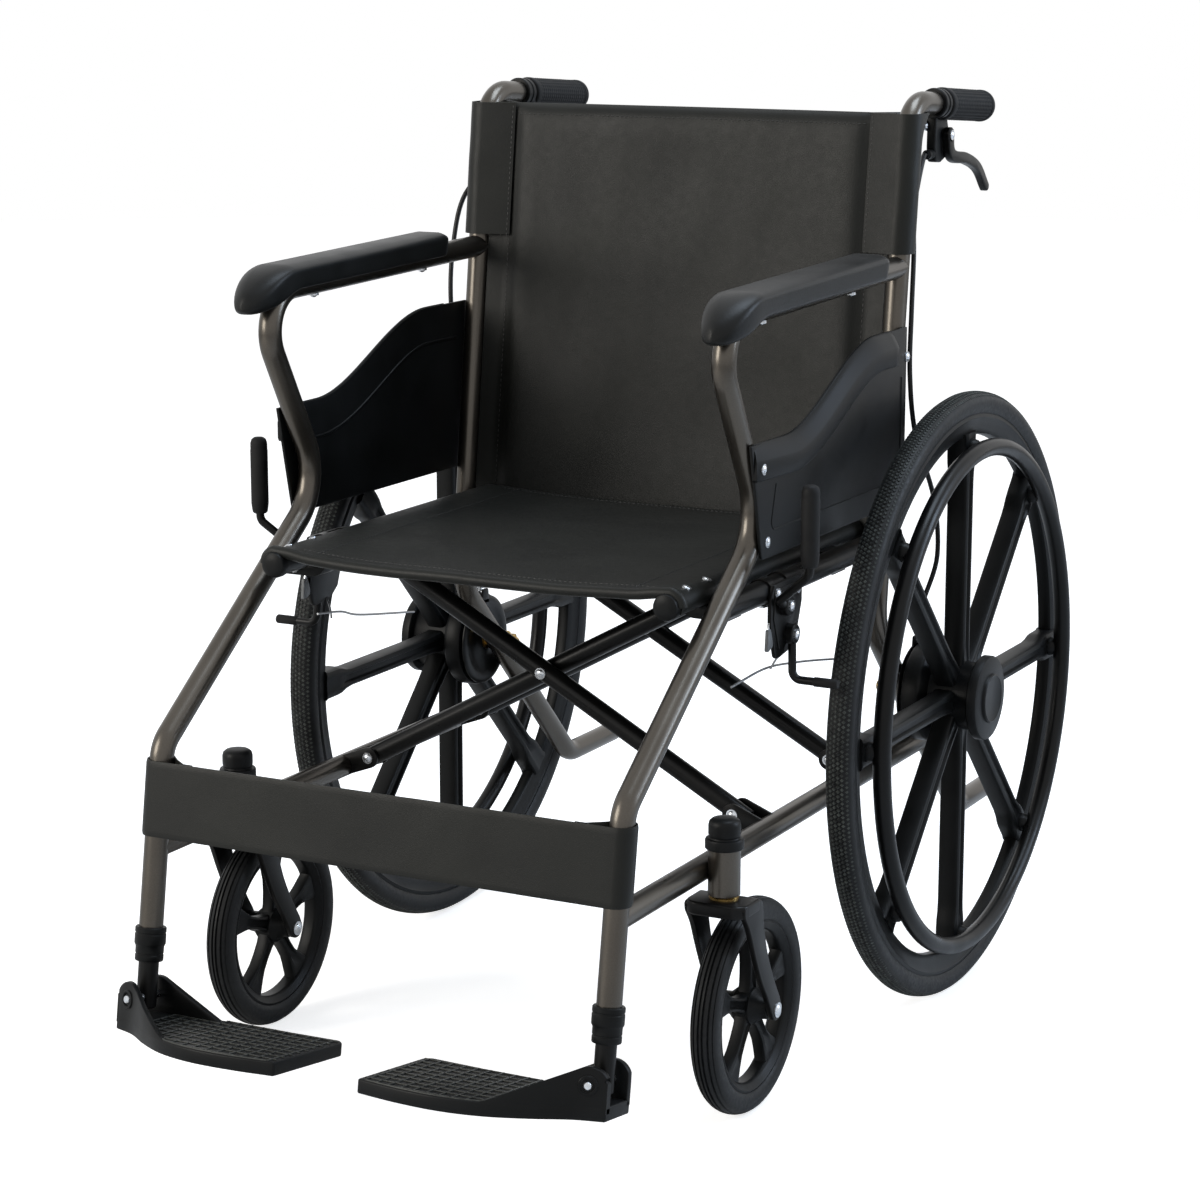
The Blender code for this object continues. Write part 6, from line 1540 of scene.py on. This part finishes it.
def seat():
    """Sling seat over its two rails, with a rolled front hem, seams and two rivets at each front corner."""
    sizes = bpy.context.scene.chair_cloth
    rows = [SEAT_FRONT + 0.0042 + (SEAT_REAR - SEAT_FRONT - 0.0042) * i / 60 for i in range(61)]
    rings = [[(x, y, z) for x, z in band_outline(seat_line(y), sizes.cloth)] for y in rows]
    cloth = lofted(rings, sharp=60)
    front = seat_line(rows[0])
    roll_path = [Vector((x, rows[0] + 0.0004, z - 0.0034 * min(1, max(0, (SEAT_RAIL_X - 0.004 - abs(x)) / 0.03))))
                 for x, z in front[4:-4]]
    radii = [0.0034 + 0.002 * min(1, max(0, (SEAT_RAIL_X - 0.004 - abs(point.x)) / 0.03)) for point in roll_path]
    roll = tube(roll_path, radii, leatherette, 16)
    rear_line = seat_line(rows[-1])
    back_roll = tube([Vector((x, rows[-1] - 0.003, z - 0.0016)) for x, z in rear_line[15:-15]], 0.0024,
                     leatherette, 12)
    piece = show("seat_cloth", "seat", [(cloth, leatherette), roll, back_roll], ["seat_sling"])
    seams = []
    for y in (SEAT_FRONT + 0.019, SEAT_REAR - 0.01):
        seams.append([Vector((x, y, z + sizes.cloth / 2 + 0.0001)) for x, z in seat_line(y)[16:-16]])
    for sign in (1, -1):
        column = []
        for y in rows[2:-1]:
            line = seat_line(y)
            x, z = line[18] if sign == 1 else line[-19]
            column.append(Vector((x, y, z + sizes.cloth / 2 + 0.0001)))
        seams.append(column)
    thread_piece = show("seat_stitches", "seat", [stitches(seam) for seam in seams])
    for item in (piece, thread_piece):
        soft(item, "seat")
    turn = math.radians(70)
    radius = 0.0116 + sizes.cloth
    for side, sign, body in (("left", 1, "seat"), ("right", -1, "brace_a")):
        places = [((sign * (SEAT_RAIL_X + radius * math.cos(turn)), y, SEAT_RAIL_Z + radius * math.sin(turn)),
                   (sign * math.cos(turn), 0, math.sin(turn))) for y in (-0.446, -0.405)]
        show(side + "_seat_rivets", body, [screws(places, zinc, 0.0036, 0.0016, 1.25)])


BACK_LOW, BACK_HIGH = 0.456, 0.882


def back_line(z):
    sizes = bpy.context.scene.chair_cloth
    half = FRAME_X - 0.0119
    low, high = BACK_LOW, BACK_HIGH
    bow = sizes.back_bow * math.sin(math.pi * (0.25 + 0.5 * (z - low) / (high - low)))
    points = []
    for i in range(57):
        x = half - 2 * half * i / 56
        share = abs(x / half)
        uneven = ripple(x, 2.2, z, 0.11, 0.0022) + ripple(x, 4.2, z * 0.35, 0.03, 0.0006)
        points.append((x, post_y(z) + bow * (1 - share ** 2) + uneven * (1 - share ** 6)))
    return points


def back_depth(x, z):
    """Where the middle of the back cloth is at a place across and a height."""
    line = back_line(z)
    return min(line, key=lambda point: abs(point[0] - x))[1]


def handle_shift(z):
    """How far the handle tube has bent back behind the post's line at a height."""
    start = HANDLE_CORNER[1] - 0.0425
    rise = min(0.039, max(0.0, z - start))
    return 0.04 - math.sqrt(0.04 ** 2 - rise ** 2)


def back():
    """Cloth back: a padded panel between the posts, with a sleeve sewn round the top of each."""
    sizes = bpy.context.scene.chair_cloth
    low, high, sleeve_low = BACK_LOW, BACK_HIGH, 0.7476
    rings = []
    for i in range(77):
        z = low + (high - low) * i / 76
        edge = math.sqrt(1 - (1 - min(1, min(z - low, high - z) / 0.004)) ** 2)
        end = math.sqrt(1 - (1 - min(1, (high - z) / 0.03, (z - low) / 0.03)) ** 2)
        line = back_line(z)
        first, second = [], []
        for x, y in line:
            seam = min(1, max(0, (FRAME_X - sizes.sleeve - abs(x)) / 0.026))
            puff = sizes.back_pad * end * math.sqrt(1 - (1 - seam) ** 2)
            first.append((x, y - 0.0008 - 0.0014 * edge - puff, z))
            second.append((x, y + 0.0008 + 0.0014 * edge, z))
        rings.append(first + second[::-1])
    panel = lofted(rings, sharp=60)
    sleeves = []
    wrap = TUBE_FACE + sizes.cloth / 2 + 0.0002
    levels = [sleeve_low + (high - sleeve_low) * i / 30 for i in range(31)]
    for sign in (1, -1):
        rings = []
        for z in levels:
            base, shift = post_y(z), handle_shift(z)
            loop = arc((0, 0), wrap, -104, 104, 26)
            line = [(FRAME_X - sizes.sleeve, base - 0.0036)]
            line += [(FRAME_X + x * 1.18, base + y * 1.12 + (shift if y > 0 else 0)
                      + ripple(x * 3, y * 3, z, 0.03, 0.0006)) for x, y in loop]
            line += [(FRAME_X - sizes.sleeve, base + 0.0036)]
            rings.append([(sign * x, y, z) for x, y in band_outline(line, sizes.cloth)])
        sleeves.append((lofted(rings, sharp=60), leatherette))
    piece = show("back_cloth", "left_frame", [(panel, leatherette), *sleeves], ["back_sling"])
    seams = []
    front = -0.0036 - sizes.cloth / 2 - 0.0002
    for sign in (1, -1):
        for inset in (0.0025, 0.0085):
            x = sign * (FRAME_X - sizes.sleeve + inset)
            seams.append([Vector((x, post_y(z) + front - inset * 0.22, z)) for z in levels[:-1]])
        below = [low + (sleeve_low - low) * i / 30 for i in range(31)]
        x = FRAME_X - sizes.sleeve + 0.0025
        seams.append([Vector((sign * x, back_depth(x, z) - 0.0024, z)) for z in below])
    for z in (high - 0.011, low + 0.01):
        row = [(x, y) for x, y in back_line(z) if abs(x) < FRAME_X - sizes.sleeve - 0.002]
        puff = sizes.back_pad * math.sqrt(1 - (1 - min(1, (high - z) / 0.03, (z - low) / 0.03)) ** 2)
        reach = FRAME_X - sizes.sleeve
        seams.append([Vector((x, y - 0.0024 - puff * math.sqrt(1 - (1 - min(1, (reach - abs(x)) / 0.026)) ** 2), z))
                      for x, y in row])
    thread_piece = show("back_stitches", "left_frame", [stitches(seam) for seam in seams])
    for item in (piece, thread_piece):
        soft(item, "back")


def calf_band():
    """Taut band between the foot tubes, wrapped round each and sewn back on itself."""
    sizes = bpy.context.scene.chair_cloth
    low, high = 0.2521, 0.32
    thick = 0.0022
    wrap = TUBE_FACE + thick / 2 + 0.0002
    rings = []
    for i in range(25):
        z = low + (high - low) * i / 24
        edge = min(1, min(z - low, high - z) / 0.002)
        base = foot_tube_y(z)
        half = [(FRAME_X - 0.04, base - wrap + 1.25 * thick), (FRAME_X - 0.03, base - wrap + 1.35 * thick),
                (FRAME_X - 0.016, base + 0.001)]
        half += [(FRAME_X + x, base + y) for x, y in arc((0, 0), wrap, 118, -90, 30)]
        count = 46
        flat = []
        for k in range(1, count):
            x = FRAME_X - 2 * FRAME_X * k / count
            slack = ripple(x, 7.0, z, 0.06, 0.0012) * (1 - (x / FRAME_X) ** 4)
            flat.append((x, base - wrap + abs(slack)))
        line = half + flat + [(-x, y) for x, y in reversed(half)]
        rings.append([(x, y, z) for x, y in band_outline(line, thick * (0.5 + 0.5 * edge))])
    piece = show("calf_band", "left_frame", [(lofted(rings, sharp=60), leatherette)], ["calf_strap"])
    soft(piece, "back")


def brake_wires():
    """Thin pull wires that run back from the parking brakes."""
    routes = (("left", 1, [(-0.412, 0.394), (-0.34, 0.396), (-0.273, 0.388), (-0.19, 0.374), (-0.108, 0.358)]),
              ("right", -1, [(-0.353, 0.402), (-0.31, 0.396), (-0.274, 0.386), (-0.17, 0.369)]))
    for side, sign, route in routes:
        path = smooth_path([(sign * (FRAME_X + 0.002), y, z) for y, z in route], 10)
        wire = tube(path, 0.0011, spring_wire, 8)
        hook = smooth_path([(sign * (FRAME_X + 0.002), -0.328, 0.393), (sign * (FRAME_X + 0.006), -0.324, 0.402),
                            (sign * (FRAME_X + 0.0125), -0.32, 0.412), (sign * (FRAME_X + 0.0135), -0.319, 0.418)],
                           6)
        show(side + "_brake_wire", side + "_frame", [wire, tube(hook, 0.001, spring_wire, 8)])


# Camera, floor and light

def stage_material(name, colour, glow):
    """Matte painted floor: pale, with a light of its own that only the camera sees, so that it reads white."""
    made, tree, shader = surface(name, Base_Color=colour, Roughness=0.9, Specular_IOR_Level=0.1)
    seen = add(tree, "ShaderNodeLightPath").outputs["Is Camera Ray"]
    strength = add(tree, "ShaderNodeMath", {0: seen, 1: glow}, operation="MULTIPLY")
    shader.inputs["Emission Color"].default_value = (1, 1, 1, 1)
    tree.links.new(strength.outputs["Value"], shader.inputs["Emission Strength"])
    return made


def lamp(name, place, aim, size, power, colour):
    """A square soft light that looks at a point."""
    light = bpy.data.lights.new(name, "AREA")
    light.shape = "RECTANGLE"
    light.size, light.size_y = size
    light.energy = power * bpy.context.scene.chair_studio.light
    light.color = colour
    made = bpy.data.objects.new(name, light)
    bpy.context.scene.collection.objects.link(made)
    made.location = Vector(place)
    made.rotation_euler = (Vector(aim) - Vector(place)).to_track_quat("-Z", "Y").to_euler()
    return made


def camera():
    studio = bpy.context.scene.chair_studio
    yaw, pitch, roll = studio.yaw, studio.pitch, studio.roll
    forward = Vector((-math.sin(yaw) * math.cos(pitch), math.cos(yaw) * math.cos(pitch), -math.sin(pitch)))
    right = forward.cross(Vector((0, 0, 1))).normalized()
    up = right.cross(forward)
    across = right * math.cos(roll) + up * math.sin(roll)
    above = up * math.cos(roll) - right * math.sin(roll)
    eye = bpy.data.cameras.new("eye")
    eye.lens, eye.sensor_width, eye.clip_end = studio.focal, 36, 200
    made = bpy.data.objects.new("eye", eye)
    bpy.context.scene.collection.objects.link(made)
    turn = Matrix((across, above, -forward)).transposed().to_4x4()
    made.matrix_world = Matrix.Translation(Vector(studio.place) + Vector((0, AXLE_Y, 0))) @ turn
    bpy.context.scene.camera = made


def studio():
    camera()
    scene = bpy.context.scene
    scene.view_settings.view_transform = "Standard"
    floor_mesh = turned([(0, -0.0005), (9.0, -0.0005), (9.0, -0.0205), (0, -0.0205)], "Z", (0, 0, 0), 96)
    floor_mesh.materials.append(stage_material("matte_white_floor", linear("#f4f4f4"), 0.7))
    floor = bpy.data.objects.new("floor", floor_mesh)
    scene.collection.objects.link(floor)
    world = bpy.data.worlds.new("studio_white")
    scene.world = world
    world.use_nodes = True
    tree = world.node_tree
    tree.nodes.clear()
    path = add(tree, "ShaderNodeLightPath")
    first = add(tree, "ShaderNodeMath", {0: path.outputs["Is Camera Ray"], 1: path.outputs["Is Glossy Ray"]},
                operation="MAXIMUM")
    seen = add(tree, "ShaderNodeMath", {0: first.outputs["Value"], 1: path.outputs["Is Transmission Ray"]},
               operation="MAXIMUM")
    strength = add(tree, "ShaderNodeMapRange", {"Value": seen.outputs["Value"], "To Min": 0.36, "To Max": 1.0})
    light = add(tree, "ShaderNodeBackground", {"Color": (1, 1, 1, 1), "Strength": strength.outputs["Result"]})
    add(tree, "ShaderNodeOutputWorld", {"Surface": light.outputs["Background"]})
    lamp("cool_top", (0.6, 0.6, 3.3), (0, 0, 0.4), (1.6, 1.3), 52, (0.72, 0.85, 1.0))
    lamp("warm_front_left", (-2.0, -2.7, 1.7), (0, 0, 0.5), (1.6, 1.8), 76, (1.0, 0.955, 0.88))
    lamp("cool_right_back", (2.7, 1.5, 1.7), (0, 0, 0.5), (0.8, 1.6), 50, (0.66, 0.8, 1.0))


# The add-on

class SideTubes(bpy.types.Operator):
    """Arm, handle, post and foot tubes of both sides."""
    bl_idname = "chair.side_tubes"
    bl_label = "Side tubes"

    def execute(self, context):
        side_tubes()
        return {"FINISHED"}


class SeatTubes(bpy.types.Operator):
    """Tubes beside the seat, with the rests of its rails."""
    bl_idname = "chair.seat_tubes"
    bl_label = "Seat height tubes"

    def execute(self, context):
        seat_tubes()
        return {"FINISHED"}


class LowerRails(bpy.types.Operator):
    """Lower tubes with caster housings and the lugs of the brace."""
    bl_idname = "chair.lower_rails"
    bl_label = "Lower tubes"

    def execute(self, context):
        lower_rails()
        return {"FINISHED"}


class SkirtGuards(bpy.types.Operator):
    """Moulded side panels with their rolled band and screws."""
    bl_idname = "chair.skirt_guards"
    bl_label = "Skirt guards"

    def execute(self, context):
        skirt_guards()
        return {"FINISHED"}


class ArmPads(bpy.types.Operator):
    """Foam pads on the arm tubes."""
    bl_idname = "chair.arm_pads"
    bl_label = "Arm pads"

    def execute(self, context):
        arm_pads()
        return {"FINISHED"}


class PushGrips(bpy.types.Operator):
    """Studded rubber grips on the handles."""
    bl_idname = "chair.push_grips"
    bl_label = "Push grips"

    def execute(self, context):
        push_grips()
        return {"FINISHED"}


class HandBrakes(bpy.types.Operator):
    """Clamps, levers and bolts of the hand brakes."""
    bl_idname = "chair.hand_brakes"
    bl_label = "Hand brakes"

    def execute(self, context):
        hand_brakes()
        return {"FINISHED"}


class BrakeCables(bpy.types.Operator):
    """Sheathed cables down the back posts, and the thin pull wires."""
    bl_idname = "chair.brake_cables"
    bl_label = "Brake cables"

    def execute(self, context):
        brake_cables()
        brake_wires()
        return {"FINISHED"}


class Axles(bpy.types.Operator):
    """Axle bolts, nuts and drum brake plates."""
    bl_idname = "chair.axles"
    bl_label = "Axles"

    def execute(self, context):
        axles()
        return {"FINISHED"}


class RearWheels(bpy.types.Operator):
    """Cast wheels, tyres with their tread, and push rings."""
    bl_idname = "chair.rear_wheels"
    bl_label = "Rear wheels"

    def execute(self, context):
        rear_wheels()
        return {"FINISHED"}


class ParkingBrakes(bpy.types.Operator):
    """Plates, levers and shoes of the parking brakes."""
    bl_idname = "chair.parking_brakes"
    bl_label = "Parking brakes"

    def execute(self, context):
        parking_brakes()
        return {"FINISHED"}


class Footrests(bpy.types.Operator):
    """Collars, sliding stems and treaded footplates."""
    bl_idname = "chair.footrests"
    bl_label = "Footrests"

    def execute(self, context):
        footrests()
        return {"FINISHED"}


class Casters(bpy.types.Operator):
    """Forks, moulded wheels and ribbed tyres."""
    bl_idname = "chair.casters"
    bl_label = "Casters"

    def execute(self, context):
        casters()
        return {"FINISHED"}


class Brace(bpy.types.Operator):
    """Crossing bars, their bolts and the seat rails."""
    bl_idname = "chair.brace"
    bl_label = "Scissor brace"

    def execute(self, context):
        brace()
        return {"FINISHED"}


class Seat(bpy.types.Operator):
    """Sling seat with its hems, seams and rivets."""
    bl_idname = "chair.seat"
    bl_label = "Seat"

    def execute(self, context):
        seat()
        return {"FINISHED"}


class Back(bpy.types.Operator):
    """Cloth back with its sleeves and seams."""
    bl_idname = "chair.back"
    bl_label = "Back"

    def execute(self, context):
        back()
        return {"FINISHED"}


class CalfBand(bpy.types.Operator):
    """Cloth band between the foot tubes."""
    bl_idname = "chair.calf_band"
    bl_label = "Calf band"

    def execute(self, context):
        calf_band()
        return {"FINISHED"}


class Studio(bpy.types.Operator):
    """Camera, floor and soft light."""
    bl_idname = "chair.studio"
    bl_label = "Studio"

    def execute(self, context):
        studio()
        return {"FINISHED"}


STEPS = (SideTubes, SeatTubes, LowerRails, SkirtGuards, ArmPads, PushGrips, HandBrakes, BrakeCables, Axles,
         RearWheels, ParkingBrakes, Footrests, Casters, Brace, Seat, Back, CalfBand, Studio)
SIZES = (("chair_frame", FrameSizes), ("chair_wheels", WheelSizes), ("chair_casters", CasterSizes),
         ("chair_feet", FootrestSizes), ("chair_trim", TrimSizes), ("chair_cloth", ClothSizes),
         ("chair_studio", StudioSizes))


class ChairPanel(bpy.types.Panel):
    """Sizes and building steps of the wheelchair."""
    bl_idname = "VIEW3D_PT_wheelchair"
    bl_label = "Wheelchair"
    bl_space_type = "VIEW_3D"
    bl_region_type = "UI"
    bl_category = "Wheelchair"

    def draw(self, context):
        for group, kind in SIZES:
            box = self.layout.box()
            for name in kind.__annotations__:
                box.prop(getattr(context.scene, group), name)
        for step in STEPS:
            self.layout.operator(step.bl_idname)


def register():
    for _, kind in SIZES:
        bpy.utils.register_class(kind)
    for step in (*STEPS, ChairPanel):
        bpy.utils.register_class(step)
    for group, kind in SIZES:
        setattr(bpy.types.Scene, group, PointerProperty(type=kind))


def unregister():
    for group, _ in SIZES:
        delattr(bpy.types.Scene, group)
    for step in (ChairPanel, *reversed(STEPS)):
        bpy.utils.unregister_class(step)
    for _, kind in reversed(SIZES):
        bpy.utils.unregister_class(kind)


def main():
    register()
    for step in STEPS:
        getattr(bpy.ops.chair, step.bl_idname.partition(".")[2])()


if __name__ == "__main__":
    main()
